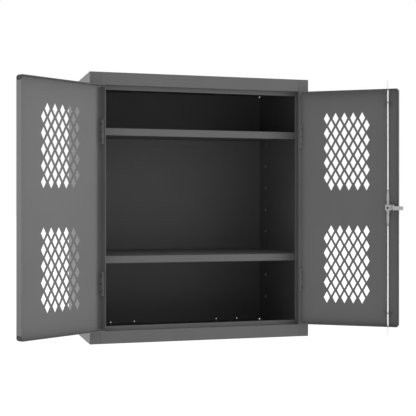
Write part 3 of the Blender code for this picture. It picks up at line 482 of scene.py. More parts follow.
def make_rail(name, flip):
    """Header, or the same profile upside down for the sill."""
    half = SHEET / 2
    stop_y = front + frame_depth - half
    edge = height - rail_height
    profile = [(front + half, height), (front + half, edge + half), (stop_y, edge + half),
               (stop_y, edge - rail_stop)]
    path = [(-half_opening, y, height - z if flip else z) for y, z in profile]
    rail = bent_sheet(name, path, (2 * half_opening, 0, 0))
    level = height - edge if flip else edge
    slot = bmesh.new()
    centre = (LATCH_X, front + ROD_DEPTH, level - 5 * MM)
    prism(slot, rod_slot(centre, ACROSS, BACKWARD), (0, 0, 10 * MM))
    cut(rail, slot)
    soften(rail)
    return rail


hand_over(make_rail("header_rail_bent", False), "grey_powder_coat", "cabinet", "header_rail")
hand_over(make_rail("sill_rail_bent", True), "grey_powder_coat", "cabinet", "sill_rail")

# %% [markdown]
# ## Stiles
# The two uprights of the frame are bent the same way, but each needs its ends cut back, so that
# the top and bottom sheets and the rails fit between them.


# %% Stiles
SEAM = 0.3 * MM
STILE_STOP = 5 * MM
# A cutter reaches this far past the sheet.
OVER = 2 * MM


def make_stile(word, side):
    """Face, jamb and stop strip at one side of the opening."""
    half = SHEET / 2
    opening = half_opening + SEAM
    stop_y = front + frame_depth - half
    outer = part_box("stile_" + word)
    edge_x = max(abs(outer[0].x), abs(outer[1].x))
    path = [(side * edge_x, front + half, 0), (side * (opening + half), front + half, 0),
            (side * (opening + half), stop_y, 0), (side * (opening - STILE_STOP), stop_y, 0)]
    stile = bent_sheet("stile_bent_" + word, path, (0, 0, height))
    trims = bmesh.new()
    far, near = side * (edge_x + OVER), side * (opening - STILE_STOP - OVER)
    for low, high in ((-OVER, SHEET + SEAM), (height - SHEET - SEAM, height + OVER)):
        block(trims, (min(far, near), front + SHEET + SEAM, low),
              (max(far, near), front + frame_depth + OVER, high))
    cut(stile, trims)
    stops = bmesh.new()
    reach = rail_height + rail_stop + SEAM
    far = side * (opening - SEAM)
    for low, high in ((-OVER, reach), (height - reach, height + OVER)):
        block(stops, (min(far, near), front + frame_depth - SHEET - OVER, low),
              (max(far, near), front + frame_depth + OVER, high))
    cut(stile, stops)
    soften(stile)
    return stile


for word, side in (("left", -1), ("right", 1)):
    hand_over(make_stile(word, side), "grey_powder_coat", "cabinet", "stile_" + word)

# %% [markdown]
# ## Side and back panels
# These are flat sheets. The side panels have two columns of slots that take the shelf bolts, and
# a punch for such a slot has round ends, because a crack starts in a sharp corner. The back panel
# has four small drain holes and a relief in each corner. The sheet's edges are softened first and
# the holes are cut after that: with so many holes in one flat face, a bevel could fold over.


# %% Flat panels with holes
def make_panel(name, node, holes):
    """A flat sheet where a solid is, with soft edges and then with holes."""
    shape = bmesh.new()
    block(shape, *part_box(node))
    panel = object_from(name, shape)
    edges = panel.modifiers.new("soft edges", "BEVEL")
    edges.width = FINE_EDGE
    edges.segments = 2
    apply_modifiers(panel)
    cut(panel, holes)
    shade_smoothly(panel, 50)
    even_shading(panel, keep_sharp=True)
    return panel


# %% Side panels
# In millimetres: the height of the slots that carry the lower shelf, and from row to row.
LOWER_SHELF_SLOT, SLOT_PITCH = 322.6, 101.6
SLOT_LEVELS = [(LOWER_SHELF_SLOT + (row - 2) * SLOT_PITCH) * MM for row in range(8)]
SLOTS_FROM_FRONT = 80 * MM
SLOTS_FROM_BACK = 87.6 * MM
SLOT_HALF_WIDTH = 2.45 * MM
SLOT_HALF_HEIGHT = 6.35 * MM
for word in ("left", "right"):
    low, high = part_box("side_panel_" + word)
    slots = bmesh.new()
    for depth in (front + SLOTS_FROM_FRONT, high.y - SLOTS_FROM_BACK):
        for level in SLOT_LEVELS:
            corners = [(low.x - OVER, depth + y * SLOT_HALF_WIDTH, level + z * SLOT_HALF_HEIGHT)
                       for y, z in CORNER_SIGNS]
            prism(slots, rounded_outline(corners, 2.4 * MM, 4), (high.x - low.x + 4 * MM, 0, 0))
    panel = make_panel("punched_side_panel_" + word, "side_panel_" + word, slots)
    hand_over(panel, "grey_powder_coat", "cabinet", "side_panel_" + word)

# %% Back panel
CABINET_WIDTH = 914.4  # in millimetres
# How far the drains are across it, as shares of that width.
DRAIN_WIDTH_SHARES = (0.211, 0.33, 0.761, 0.872)
DRAIN_RADIUS = 1.9 * MM
DRAIN_HEIGHT = 11 * MM
CORNER_RELIEF = 4 * MM
low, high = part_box("back_panel")
holes = bmesh.new()
through = (0, 6 * MM, 0)
for share in DRAIN_WIDTH_SHARES:
    spot = ((share - 0.5) * CABINET_WIDTH * MM, low.y - OVER, DRAIN_HEIGHT)
    prism(holes, ring_of(spot, DRAIN_RADIUS, ACROSS, UPWARD, 16), through)
for across in (low.x, high.x):
    for level in (SHEET, high.z):
        ring = ring_of((across, low.y - OVER, level), CORNER_RELIEF, ACROSS, UPWARD)
        prism(holes, ring, through)
back = make_panel("drained_back_panel", "back_panel", holes)
hand_over(back, "grey_powder_coat", "cabinet", "back_panel")

# %% [markdown]
# ## Shelves
# Each shelf is one sheet. Its front edge is folded down and back under itself, which stiffens
# it and leaves no sharp edge for the hand. The back edge is folded down once.


# %% Shelves
LIP_RETURN = 12 * MM
SHELF_HOLE = 4 * MM
HOLE_FROM_END = 26 * MM


def make_shelf(word):
    """A shelf with a folded front lip and a back flange with two holes."""
    low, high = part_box("shelf_" + word)
    half = SHEET / 2
    path = [(low.x, low.y + LIP_RETURN, low.z + half), (low.x, low.y + half, low.z + half),
            (low.x, low.y + half, high.z - half), (low.x, high.y - half, high.z - half),
            (low.x, high.y - half, low.z)]
    shelf = bent_sheet("shelf_bent_" + word, path, (high.x - low.x, 0, 0))
    holes = bmesh.new()
    level = low.z + 9 * MM
    for across in (low.x + HOLE_FROM_END, high.x - HOLE_FROM_END):
        ring = ring_of((across, high.y - 6 * MM, level), SHELF_HOLE, ACROSS, UPWARD)
        prism(holes, ring, (0, 12 * MM, 0))
    cut(shelf, holes)
    soften(shelf)
    return shelf


for word in ("lower", "upper"):
    hand_over(make_shelf(word), "grey_powder_coat", "cabinet", "shelf_" + word)

# %% [markdown]
# ## Doors
# A door is a shallow pan. The blank is cut with a small round relief at each corner, so that the
# four flanges can be bent up without tearing, and the diamonds are punched before bending. The
# pan is drawn closed, as seen from its hinge, and then turned about the hinge pin with a matrix.

# %% Sizes of the doors
DOOR_WIDTH = 0.406
DOOR_DEPTH = 30 * MM
DOOR_END_GAP = 4.7 * MM
DOOR_LOW = rail_height + DOOR_END_GAP
DOOR_HIGH = height - rail_height - DOOR_END_GAP
PIN_X = 0.4155
PIN_Y = -0.3094
PIN_FROM_EDGE = 4.3 * MM
PIN_PROUD = 4.6 * MM
OPEN = radians(147.5)
DOOR_SIDE = {"left": 1, "right": -1}
print("each door:", [round(size / MM, 1) for size in (DOOR_WIDTH, DOOR_HIGH - DOOR_LOW)], "mm")


# %% Places on a door
def door_frame(word):
    """Where a door's hinge pin stands, with the door open."""
    side = DOOR_SIDE[word]
    return Matrix.Translation((-side * PIN_X, PIN_Y, 0)) @ Matrix.Rotation(-side * OPEN, 4, "Z")


def door_point(word, from_edge, depth, level):
    """A point of a closed door, as seen from its hinge pin."""
    return Vector((DOOR_SIDE[word] * (PIN_FROM_EDGE + from_edge), PIN_PROUD + depth, level))


# %% Where the diamonds are
BLOCK_FROM_MIDDLE = 230.5 * MM
BLOCK_SHIFT = {"left": 2.4 * MM, "right": 9.6 * MM}
# These four are in millimetres.
DIAMOND_HALF_WIDTH = 12.1
DIAMOND_HALF_HEIGHT = 23.5
DIAMONDS_APART = 36.1
ROW_PAIRS_APART = 60.5


def diamond_centres():
    """Middles of the diamonds: across from their block's middle, up from the door's."""
    for block_side in (1, -1):
        for row in range(10):
            shift = 1 if row % 2 else -1
            rows_up = 2 - row // 2 - shift / 4
            up = block_side * (BLOCK_FROM_MIDDLE + rows_up * ROW_PAIRS_APART * MM)
            for column in range(5):
                yield (column - 2 + shift / 4) * DIAMONDS_APART * MM, up


print("diamonds in each door:", len(list(diamond_centres())))


# %% What is cut out of a door
CUTTER_REACH = 4 * MM
DOOR_NOTCH = 6 * MM
HINGE_FROM_MIDDLE = 295.7 * MM
SCREWS_APART = 31.2 * MM
SCREW_DEPTH = 12.4 * MM
SCREW_HOLE = 2.7 * MM
LATCH_FROM_EDGE = 44 * MM
SPINDLE_HOLE = 8 * MM


def door_openings(word):
    """The diamonds, corner reliefs, screw holes and latch holes of a door, as closed shapes."""
    openings = bmesh.new()
    middle = height / 2
    across_door = Vector((DOOR_SIDE[word], 0, 0))
    inward = Vector(BACKWARD)
    up = Vector(UPWARD)
    block_middle = DOOR_WIDTH / 2 - BLOCK_SHIFT[word]
    for across, rise in diamond_centres():
        centre = door_point(word, block_middle + across, -CUTTER_REACH, middle + rise)
        wide = across_door * DIAMOND_HALF_WIDTH * MM
        high = up * DIAMOND_HALF_HEIGHT * MM
        tips = [centre + wide, centre + high, centre - wide, centre - high]
        prism(openings, rounded_outline(tips, 0.7 * MM, 2), inward * 8 * MM)
    for from_edge in (0, DOOR_WIDTH):
        for level in (DOOR_LOW, DOOR_HIGH):
            corner = door_point(word, from_edge, -CUTTER_REACH, level)
            prism(openings, ring_of(corner, DOOR_NOTCH, across_door, up, 32), inward * 42 * MM)
    for level in (middle - HINGE_FROM_MIDDLE, middle + HINGE_FROM_MIDDLE):
        for turn in (-1, 0, 1):
            centre = door_point(word, -CUTTER_REACH, SCREW_DEPTH, level + turn * SCREWS_APART)
            prism(openings, ring_of(centre, SCREW_HOLE, inward, up, 12), across_door * 8 * MM)
    if word == "right":
        centre = door_point(word, DOOR_WIDTH - LATCH_FROM_EDGE, -CUTTER_REACH, middle)
        prism(openings, ring_of(centre, SPINDLE_HOLE, across_door, up), inward * 8 * MM)
        for level in (DOOR_LOW - CUTTER_REACH, DOOR_HIGH - CUTTER_REACH):
            spot = door_point(word, DOOR_WIDTH - LATCH_FROM_EDGE, ROD_DEPTH, level)
            prism(openings, rod_slot(spot, across_door, inward), up * 8 * MM)
    return openings


# %% Oval cut-outs in the left door's free flange
OVAL_NEAR = 2.8 * MM
OVAL_FAR = 31.6 * MM
OVAL_LENGTH = 20.8 * MM
OVAL_ROUND = 9.4 * MM


def oval_in_the_flange(word, level, up, inset, from_edge):
    """Outline of the oval cut-out at one end of the flange at the door's free edge."""
    near, far = OVAL_NEAR + inset, OVAL_FAR - inset
    start, end = inset, OVAL_LENGTH - inset
    corners = [door_point(word, from_edge, depth, level + up * rise)
               for depth, rise in ((near, start), (near, end), (far, end), (far, start))]
    return rounded_outline(corners, OVAL_ROUND - inset, 6)


def flange_reliefs(word):
    """The cut-outs for the rubber bumpers, as closed shapes."""
    reliefs = bmesh.new()
    for level, up in ((DOOR_LOW, 1), (DOOR_HIGH, -1)):
        oval = oval_in_the_flange(word, level, up, 0, DOOR_WIDTH - CUTTER_REACH)
        prism(reliefs, oval, (DOOR_SIDE[word] * 8 * MM, 0, 0))
    return reliefs


# %% Door pans
def make_door(word):
    """The perforated pan of one door, in place."""
    half = SHEET / 2
    out = door_point(word, 0, 0, DOOR_LOW)
    far = door_point(word, DOOR_WIDTH, DOOR_DEPTH, DOOR_HIGH)
    shape = bmesh.new()
    block(shape, [min(pair) for pair in zip(out, far)], [max(pair) for pair in zip(out, far)])
    bmesh.ops.recalc_face_normals(shape, faces=shape.faces)
    back = PIN_PROUD + DOOR_DEPTH
    open_side = [face for face in shape.faces if face.calc_center_median().y > back - half]
    bmesh.ops.delete(shape, geom=open_side, context="FACES_ONLY")
    bends = [edge for edge in shape.edges
             if all(abs(corner.co.y - PIN_PROUD) < half for corner in edge.verts)]
    bmesh.ops.bevel(shape, geom=bends, offset=BEND + SHEET, offset_type="OFFSET", segments=6,
                    profile=0.5, affect="EDGES")
    door = object_from("door_pan_" + word, shape)
    shell = door.modifiers.new("thickness", "SOLIDIFY")
    shell.thickness = SHEET
    shell.offset = -1.0
    shell.use_even_offset = True
    apply_modifiers(door)
    cut(door, door_openings(word))
    if word == "left":
        cut(door, flange_reliefs(word))
    soften(door)
    door.data.transform(door_frame(word))
    return door


for word in ("left", "right"):
    hand_over(make_door(word), "grey_powder_coat", word + "_door", "door_" + word)

# %% [markdown]
# ## Rubber bumpers
# Where two doors meet, metal would ring on metal. So the left door's free flange has an oval
# cut-out at each end with a rubber bumper in it. Moulded rubber is nearly black and dull, and a
# round button in its middle holds it. Stacked outlines that shrink towards the face give it the
# soft rim of a moulding.

# %% Moulded rubber
RUBBER, rubber_shader = new_material("moulded_dark_rubber")
rubber_place = add_node(RUBBER, "TexCoord").outputs["Object"]
speckle = add_node(RUBBER, "TexNoise", Vector=rubber_place, Scale=1 / (0.6 * MM))
rubber_bump = add_node(RUBBER, "Bump", Height=speckle.outputs["Fac"], Strength=0.3,
                       Distance=0.03 * MM)
RUBBER.node_tree.links.new(rubber_bump.outputs["Normal"], rubber_shader.inputs["Normal"])
rubber_shader.inputs["Base Color"].default_value = linear("333435")
rubber_shader.inputs["Roughness"].default_value = 0.7
print("made", RUBBER.name)

# %% Bumpers with their buttons
# Each pair is how far an outline is drawn in, and how far it stands out of the flange, in mm.
BUMPER_OUTLINES = ((2.1, -3.4), (1.7, -3), (1.7, -0.1), (2.0, 0.2), (2.6, 0.3), (3.0, 0.1),
                   (3.4, -0.7))
# Each pair is a radius and how far it stands out of the flange, in mm.
BUTTON_OUTLINES = ((2.8, -1.2), (2.8, -0.3), (2.3, 0.1), (1.4, 0.3))
for word, level, up in (("bottom", DOOR_LOW, 1), ("top", DOOR_HIGH, -1)):
    shape = bmesh.new()
    skin(shape, [oval_in_the_flange("left", level, up, inset * MM, DOOR_WIDTH + out * MM)
                 for inset, out in BUMPER_OUTLINES])
    bumper = object_from("rubber_bumper_" + word, shape)
    shade_smoothly(bumper, 50)
    bumper.data.transform(door_frame("left"))
    hand_over(bumper, None, "left_door", material=RUBBER)
    shape = bmesh.new()
    half_way = level + up * OVAL_LENGTH / 2
    middle = door_point("left", DOOR_WIDTH, (OVAL_NEAR + OVAL_FAR) / 2, half_way)
    skin(shape, [ring_of(middle + Vector((out * MM, 0, 0)), radius * MM, BACKWARD, UPWARD, 16)
                 for radius, out in BUTTON_OUTLINES])
    button = object_from("bumper_button_" + word, shape)
    button.data.shade_smooth()
    button.data.transform(door_frame("left"))
    hand_over(button, "grey_powder_coat", "left_door")

# %% [markdown]
# ## Welds and ground seams
# The box is welded together. Inside, each corner holds a fillet of weld metal under the paint.
# On the face, the joints between rails and stiles are filled and ground flush, so only a soft
# line is left. A fillet is a slim bar whose section is a hollow triangle, and a small ripple in
# its legs gives the rhythm of the welder's hand. At the back corners the sheets have small
# reliefs, so the fillets stop short of them and a glint of light comes through.


# %% Weld fillets
WELD_LEG = 2.4 * MM


def add_fillet(shape, start, end, one, other):
    """Add a weld fillet from start to end, with its legs along two directions."""
    start, run = Vector(start), Vector(end) - Vector(start)
    one, other = Vector(one), Vector(other)
    steps = max(2, round(run.length / (7 * MM)))
    loops = []
    for step in range(steps + 1):
        size = WELD_LEG * (1 + 0.09 * sin(step * 2.4) + 0.05 * sin(step * 0.9))
        corner = start + run * step / steps - (one + other) * 0.25 * MM
        loops.append((corner, corner + one * size, corner + (one + other) * size * 0.42,
                      corner + other * size))
    skin(shape, loops)


# %% Where the fillets run
inside_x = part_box("side_panel_right")[0].x
back_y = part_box("back_panel")[0].y
top_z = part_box("top_panel")[0].z
floor_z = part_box("bottom_panel")[1].z
face_y = front + SHEET
# The fillets stop this far from the reliefs at the back corners.
FREE = 7 * MM
fillets = bmesh.new()
for side in (-1, 1):
    wall = (-side, 0, 0)
    x = side * inside_x
    add_fillet(fillets, (x, back_y, floor_z + FREE), (x, back_y, top_z - FREE), wall, FORWARD)
    add_fillet(fillets, (x, face_y, floor_z), (x, back_y - FREE, floor_z), wall, UPWARD)
    add_fillet(fillets, (x, face_y, top_z), (x, back_y - FREE, top_z), wall, DOWNWARD)
    add_fillet(fillets, (x, face_y, floor_z), (x, face_y, top_z), wall, BACKWARD)
for level, up in ((floor_z, UPWARD), (top_z, DOWNWARD)):
    for depth, end_x, inward in ((back_y, inside_x - FREE, FORWARD), (face_y, inside_x, BACKWARD)):
        add_fillet(fillets, (-end_x, depth, level), (end_x, depth, level), up, inward)
welds = object_from("corner_weld_fillets", fillets)
welds.data.shade_smooth()
hand_over(welds, "grey_powder_coat", "cabinet")

# %% Ground seams on the face
# The seams lie this far under the faces round them, so that they show as a soft line.
SUNK = 0.07 * MM
SEAM_HALF = 0.7 * MM
seam_near, seam_far = face_y - 0.5 * MM, face_y + 0.8 * MM
seams = bmesh.new()
for side in (-1, 1):
    joint = side * (half_opening + 0.15 * MM)
    for low, high in ((0.4 * MM, rail_height - 0.5 * MM),
                      (height - rail_height + 0.5 * MM, height - 0.4 * MM)):
        block(seams, (joint - SEAM_HALF, front + SUNK, low),
              (joint + SEAM_HALF, front + 1.6 * MM, high))
    edge_x = side * (inside_x + SHEET)
    block(seams, (edge_x - 0.5 * MM - side * 0.57 * MM, seam_near, 1 * MM),
          (edge_x + 0.5 * MM - side * 0.57 * MM, seam_far, height - 1 * MM))
for low, high in ((height - 1.2 * MM, height - SUNK), (SUNK, 1.2 * MM)):
    block(seams, (-inside_x, seam_near, low), (inside_x, seam_far, high))
hand_over(object_from("ground_weld_seams", seams), "grey_powder_coat", "cabinet")

# %% [markdown]
# ## Hinges
# Each hinge is two leaves of 1.5 mm steel. Tabs on the leaves are rolled round the pin and are
# called knuckles. Rolled sheet leaves a fine slit where the tab meets its own leaf, which a
# plain cylinder can't show. The rolled tab is a strip that follows an arc round the pin.

# %% Hinge sizes
HINGE_LENGTH = 107.6 * MM
HINGE_LEVELS = {"lower": height / 2 - HINGE_FROM_MIDDLE, "upper": height / 2 + HINGE_FROM_MIDDLE}
LEAF = 1.5 * MM
LEAF_NEAR = 6 * MM
LEAF_FAR = 28 * MM
KNUCKLE = HINGE_LENGTH / 5
KNUCKLE_RADIUS = 3.3 * MM
KNUCKLE_GAP = 0.4 * MM
print("one knuckle:", round(KNUCKLE / MM, 1), "mm long")


# %% Hinge leaves
def make_leaf(name, word, leaf_x, knuckles, level, holes):
    """A leaf with rolled knuckles, as seen from the hinge pin with the door closed."""
    side = DOOR_SIDE[word]
    half = HINGE_LENGTH / 2
    plate = bmesh.new()
    outline = rounded_outline([(0, LEAF_NEAR, -half), (0, LEAF_FAR, -half), (0, LEAF_FAR, half),
                               (0, LEAF_NEAR, half)], 1.6 * MM, 4)
    corner_x = side * (leaf_x - LEAF / 2)
    prism(plate, [Vector((corner_x, point.y, point.z + level)) for point in outline],
          (side * LEAF, 0, 0))
    leaf = object_from(name, plate)
    rolls = bmesh.new()
    arc = [radians(25 - 15 * step) for step in range(21)]
    for number in knuckles:
        low = level - half + number * KNUCKLE + KNUCKLE_GAP / 2
        path = [Vector((side * leaf_x, 8 * MM, low)), Vector((side * leaf_x, 5 * MM, low))]
        path += [Vector((side * KNUCKLE_RADIUS * cos(turn), KNUCKLE_RADIUS * sin(turn), low))
                 for turn in arc]
        line = []
        for spot, point in enumerate(path):
            before, after = path[max(0, spot - 1)], path[min(len(path) - 1, spot + 1)]
            line.append((point, (after - before).normalized()))
        strip(rolls, line, (0, 0, KNUCKLE - KNUCKLE_GAP), LEAF)
    cut(leaf, rolls, "UNION")
    if holes:
        bores = bmesh.new()
        for turn in (-1, 0, 1):
            middle = Vector((side * (leaf_x - 3 * MM), 17 * MM, level + turn * SCREWS_APART))
            prism(bores, ring_of(middle, SCREW_HOLE, BACKWARD, UPWARD, 16), (side * 6 * MM, 0, 0))
        cut(leaf, bores)
    soften(leaf, 0.2 * MM)
    return leaf


for word in ("left", "right"):
    pin_place = Matrix.Translation((-DOOR_SIDE[word] * PIN_X, PIN_Y, 0))
    for spot, level in HINGE_LEVELS.items():
        tag = word + "_" + spot
        leaf = make_leaf("rolled_frame_leaf_" + tag, word, 1.35 * MM, (0, 2, 4), level, False)
        leaf.data.transform(pin_place)
        hand_over(leaf, "grey_powder_coat", "cabinet", "hinge_frame_leaf_" + tag)
        leaf = make_leaf("rolled_door_leaf_" + tag, word, 3.25 * MM, (1, 3), level, True)
        leaf.data.transform(door_frame(word))
        hand_over(leaf, "grey_powder_coat", word + "_door", "hinge_door_leaf_" + tag)

# %% [markdown]
# ## Turned pieces
# Pins, rivets and screws are turned on a lathe, so they are drawn as circles of changing radius
# along their axis.


# %% Tools for turned pieces
def turned(shape, profile, centre, axis, sides=24):
    """Add a turned piece to a bmesh, from (radius, distance along the axis) points."""
    axis = Vector(axis)
    one = Vector(ACROSS if abs(axis.z) > 0.5 else UPWARD)
    other = axis.cross(one)
    skin(shape, [ring_of(Vector(centre) + axis * along, max(radius, 0.02 * MM), one, other, sides)
                 for radius, along in profile])


def dome(radius, start, rise, steps=5):
    """(radius, distance) points of a domed head."""
    return [(radius * cos(step * pi / 2 / steps), start + rise * sin(step * pi / 2 / steps))
            for step in range(steps + 1)]


# %% Hinge pins
PIN_RADIUS = 1.9 * MM
end = HINGE_LENGTH / 2
pin_profile = [(1.2 * MM, -end), (PIN_RADIUS, 0.8 * MM - end), (PIN_RADIUS, end + 0.3 * MM),
               (3.1 * MM, end + 0.3 * MM)] + dome(3.4 * MM, end + 0.6 * MM, 1.1 * MM)
for word in ("left", "right"):
    for spot, level in HINGE_LEVELS.items():
        pin = bmesh.new()
        turned(pin, pin_profile, (-DOOR_SIDE[word] * PIN_X, PIN_Y, level), UPWARD, 20)
        piece = object_from("domed_hinge_pin_%s_%s" % (word, spot), pin)
        shade_smoothly(piece)
        hand_over(piece, "zinc_plated_steel", "cabinet", "hinge_pin_%s_%s" % (word, spot))

# %% [markdown]
# ## Nut bars and hinge screws
# Thin sheet can't hold a thread. Behind each hinge a thick steel bar with tapped holes lies
# inside the door's flange, painted with the door, and three black screws run into it. Their ends
# are the row of dark dots that can be seen from inside.

# %% Nut bars with their screws
BAR_HALF = 47.7 * MM
bored = [(3.1 * MM, 1 * MM), (3.1 * MM, 9 * MM), (3.9 * MM, 9.8 * MM)]
screw_profile = [(1.6 * MM, -0.9 * MM), (1.7 * MM, -1.75 * MM), (2.4 * MM, -1.75 * MM),
                 (2.6 * MM, -1.5 * MM), (2.6 * MM, 11.4 * MM), (1.9 * MM, 12.1 * MM)]
for word in ("left", "right"):
    for spot, level in HINGE_LEVELS.items():
        corners = (door_point(word, 2.2 * MM, 2.4 * MM, level - BAR_HALF),
                   door_point(word, 9.6 * MM, 22.4 * MM, level + BAR_HALF))
        shape = bmesh.new()
        block(shape, [min(pair) for pair in zip(*corners)], [max(pair) for pair in zip(*corners)])
        bar = object_from("nut_bar_%s_%s" % (word, spot), shape)
        holes = bmesh.new()
        screws = bmesh.new()
        along = (DOOR_SIDE[word], 0, 0)
        for turn in (-1, 0, 1):
            start = door_point(word, 0, SCREW_DEPTH, level + turn * SCREWS_APART)
            turned(holes, bored, start, along)
            turned(screws, screw_profile, start, along)
        cut(bar, holes)
        soften(bar, 0.7 * MM)
        bar.data.transform(door_frame(word))
        hand_over(bar, "grey_powder_coat", word + "_door", "hinge_nut_plate_%s_%s" % (word, spot))
        row = object_from("hinge_screws_%s_%s" % (word, spot), screws)
        shade_smoothly(row)
        row.data.transform(door_frame(word))
        hand_over(row, "black_oxide_steel", word + "_door")

# %% [markdown]
# ## The latch on the right door
# The crank's two rivets have low domes on both sides. The rods are round bar whose end is forged
# flat: the steel that leaves the thickness goes into the width, so the section turns from a flat
# oval by the eye into a circle.

# %% Crank rivets
spindle = door_point("right", DOOR_WIDTH - LATCH_FROM_EDGE, 0, height / 2)
HANDLE = door_frame("right") @ Matrix.Translation(spindle)
CRANK = 28 * MM
RIVET_HEAD = 4.9 * MM
RIVET = 2.6 * MM
for word, up in (("lower", -1), ("upper", 1)):
    pin = bmesh.new()
    profile = [(radius, -along) for radius, along in dome(RIVET_HEAD, -12.4 * MM, 1.3 * MM)[::-1]]
    profile += [(RIVET_HEAD, 13.6 * MM), (RIVET, 13.7 * MM), (RIVET, 20.6 * MM)]
    profile += [(RIVET_HEAD, 20.7 * MM)] + dome(RIVET_HEAD, 21.3 * MM, 1.3 * MM)
    turned(pin, profile, (0, 0, up * CRANK), BACKWARD)
    piece = object_from("domed_crank_rivet_" + word, pin)
    piece.data.shade_smooth()
    piece.data.transform(HANDLE)
    # The rivets take the darker zinc, which is painted shade round the crank.
    hand_over(piece, "zinc_plated_steel", "handle", "crank_pin_" + word, material=SHADED_DULL_ZINC)


# %% Sections of a rod
ROD_RADIUS = 4 * MM
TAPER = 5 * MM


def between(low, high, share):
    """A value between two others, with a soft start and end."""
    share = min(1.0, max(0.0, share))
    return low + (high - low) * share * share * (3 - 2 * share)


def oval_section(width, middle, depth, level, power, sides):
    """A level oval. At a power of 1 it is an ellipse, and a smaller one makes it squarer."""
    points = []
    for step in range(sides):
        turn = 2 * pi * step / sides
        x, y = (copysign(abs(share) ** power, share) for share in (cos(turn), sin(turn)))
        points.append(Vector((width * x, middle + depth * y, level)))
    return points


def rod_section(level, tip):
    """One section of a rod: a flat oval by the eye that turns into a circle."""
    width = between(5 * MM, ROD_RADIUS, (level - 4 * MM) / (41 * MM))
    if level < 0:
        width = (width ** 2 - level ** 2) ** 0.5 if -level < width else 0.3 * MM
    depth = between(1.5 * MM, ROD_RADIUS, (level - 30 * MM) / (16 * MM))
    if level > tip - TAPER:
        width = depth = ROD_RADIUS - (level - tip + TAPER) * 0.3
    power = between(2 / 7, 1, (level - 24 * MM) / (22 * MM))
    return oval_section(width, ROD_DEPTH, depth, level, power, 24)


# %% Rods with a forged eye
# The eye's sections, in millimetres from the crank pin.
EYE_LEVELS = (-4.98, -4.8, -4.4, -3.8, -3, -2.2, -1, 0, 2, 4, 8, 14, 20, 25, 29, 33, 36, 39, 42, 46)
ROD_PAST_DOOR = 32 * MM
tip = DOOR_HIGH - height / 2 + ROD_PAST_DOOR - CRANK
bar_levels = (EYE_LEVELS[-1] * MM, 60 * MM, tip - TAPER, tip - 0.5 * MM, tip)
for word, up in (("lower", -1), ("upper", 1)):
    flip = Matrix.Rotation(pi, 4, "Y") if up < 0 else Matrix.Identity(4)
    place = HANDLE @ Matrix.Translation((0, 0, up * CRANK)) @ flip
    shape = bmesh.new()
    skin(shape, [rod_section(level * MM, tip) for level in EYE_LEVELS])
    eye = object_from("forged_rod_end_" + word, shape)
    bore = bmesh.new()
    turned(bore, [(2.9 * MM, 10 * MM), (2.9 * MM, 28 * MM)], (0, 0, 0), BACKWARD)
    cut(eye, bore)
    shape = bmesh.new()
    skin(shape, [rod_section(level, tip) for level in bar_levels])
    bar = object_from("drawn_rod_" + word, shape)
    for piece in (eye, bar):
        shade_smoothly(piece)
        piece.data.transform(place)
    # The forged eye takes the darker zinc, which is painted shade round the crank. The bar stays
    # bright.
    hand_over(eye, "zinc_plated_steel", word + "_rod", material=SHADED_DULL_ZINC)
    hand_over(bar, "zinc_plated_steel", word + "_rod", "rod_" + word)

# %% [markdown]
# ## The pawl
# The pawl is 3 mm strip with a step in it, so that its finger passes behind the left door's
# flange. It is bent like the rails, and its finger is then cut narrower with a sloping shoulder.

# %% Pawl
near, far = 28 * MM, 33 * MM
path = [(-across * MM, depth, -9.1 * MM) for across, depth in
        ((-10, near), (12.5, near), (22.5, far), (61.5, far))]
pawl = bent_sheet("stepped_pawl", path, (0, 0, 21.4 * MM), 3 * MM, 2.5 * MM)
trim = bmesh.new()
prism(trim, [(-across * MM, far - 4 * MM, up * MM) for across, up in
             ((23.7, 15), (23.7, 12.3), (28.4, 6.4), (70, 6.4), (70, 15))], (0, 8 * MM, 0))
cut(pawl, trim)
socket = bmesh.new()
block(socket, (-4.8 * MM, near - 4 * MM, -4.8 * MM), (4.8 * MM, near + 4 * MM, 4.8 * MM))
cut(pawl, socket)
soften(pawl, 0.4 * MM)
pawl.data.transform(HANDLE)
# The pawl takes the darker zinc, which is painted shade round the crank.
hand_over(pawl, "zinc_plated_steel", "handle", "pawl", material=SHADED_DULL_ZINC)

# %% [markdown]
# ## Handle
# The lever is die cast and then satin chromium plated. A casting has no sharp edge, and its arm
# tapers a little so that it leaves the mould. Sections along the arm, each an oval with flat
# sides, give that shape.


# %% Lever
SPINDLE_BORE = 6.3 * MM
ARM_DEPTH = -23.85 * MM
# The arm's sections, in millimetres down from the spindle.
ARM_LEVELS = (0, 12, 24, 36, 48, 60, 72, 84, 96, 106, 109, 111.5, 113.5, 115.2, 116.5, 117.4, 118)


def lever_section(down):
    """One section of the lever's arm, across and in depth."""
    share = down / (ARM_LEVELS[-1] * MM)
    width = between(8.6 * MM, 6.6 * MM, share)
    depth = between(4.7 * MM, 3.6 * MM, share)
    if share > 0.92:
        round_off = max(0.0, 1 - ((share - 0.92) / 0.08) ** 2) ** 0.5
        width, depth = width * max(0.12, round_off), depth * max(0.4, round_off)
    return oval_section(width, ARM_DEPTH, depth, -down, 0.6, 28)


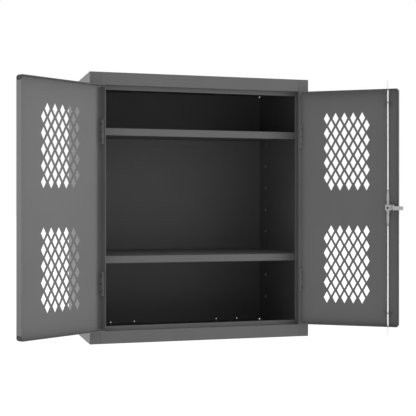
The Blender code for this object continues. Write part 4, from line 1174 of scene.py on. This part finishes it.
arm = bmesh.new()
skin(arm, [lever_section(down * MM) for down in ARM_LEVELS])
boss = bmesh.new()
boss_profile = [(13 * MM, -28.6 * MM), (14 * MM, -28.2 * MM), (14.5 * MM, -27.3 * MM),
                (14.5 * MM, -8 * MM), (13.6 * MM, -5 * MM), (13.6 * MM, -3.6 * MM)]
turned(boss, boss_profile, (0, 0, 0), BACKWARD, 36)
lever = object_from("cast_lever", boss)
cut(lever, arm, "UNION")
hollows = bmesh.new()
turned(hollows, [(7.8 * MM, -31 * MM), (7.8 * MM, -21.3 * MM)], (0, 0, 0), BACKWARD)
turned(hollows, [(SPINDLE_BORE, -17.6 * MM), (SPINDLE_BORE, -1 * MM)], (0, 0, 0), BACKWARD)
cut(lever, hollows)
shade_smoothly(lever)
lever.data.transform(HANDLE)
hand_over(lever, "satin_chrome", "handle", "lever_handle")

# %% Escutcheon
plate = bmesh.new()
loops = []
for inset, depth in ((0.8, -0.3), (0, -0.9), (0, -1.6), (0.5, -2.6), (1.4, -3.1), (2.6, -3.3)):
    half_width, half_height = (18 - inset) * MM, (42 - inset) * MM
    corners = [(x * half_width, depth * MM, -12 * MM + z * half_height) for x, z in CORNER_SIGNS]
    loops.append(rounded_outline(corners, half_width * 0.97, 8))
skin(plate, loops)
escutcheon = object_from("domed_escutcheon", plate)
bore = bmesh.new()
turned(bore, [(SPINDLE_BORE, -8 * MM), (SPINDLE_BORE, 2 * MM)], (0, 0, 0), BACKWARD)
cut(escutcheon, bore)
shade_smoothly(escutcheon)
escutcheon.data.transform(HANDLE)
hand_over(escutcheon, "satin_chrome", "right_door", "handle_escutcheon")

# %% [markdown]
# ## The pieces that keep their plain shape
# The top and bottom sheets, the shelf clips, the rod guides and the small parts of the latch are
# already right. Their meshes come in as loose triangles, so each gets a weld and a dissolve
# first, which leaves true faces, and then a small bevel that takes the light along the edges.

# %% Dress the remaining solids
def dress(node, material, width):
    """Tidy a solid's mesh with modifiers, soften its edges and give it its finish."""
    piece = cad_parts[node]
    weld = piece.modifiers.new("weld", "WELD")
    weld.merge_threshold = 0.01 * MM
    flat = piece.modifiers.new("true faces", "DECIMATE")
    flat.decimate_type = "DISSOLVE"
    flat.angle_limit = radians(2)
    soften(piece, width)
    piece.data.materials.clear()
    piece.data.materials.append(material)


hidden = {name for name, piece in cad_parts.items() if piece.hide_render}
for name in sorted(set(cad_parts) - hidden):
    finish = FINISH[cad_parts[name].data.materials[0].name]
    # The latch's small zinc parts take the darker zinc, which is painted shade round the crank.
    if name.startswith("latch") and finish == ZINC:
        finish = SHADED_DULL_ZINC
    dress(name, finish, FINE_EDGE)
print("dressed", len(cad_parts) - len(hidden), "solids")
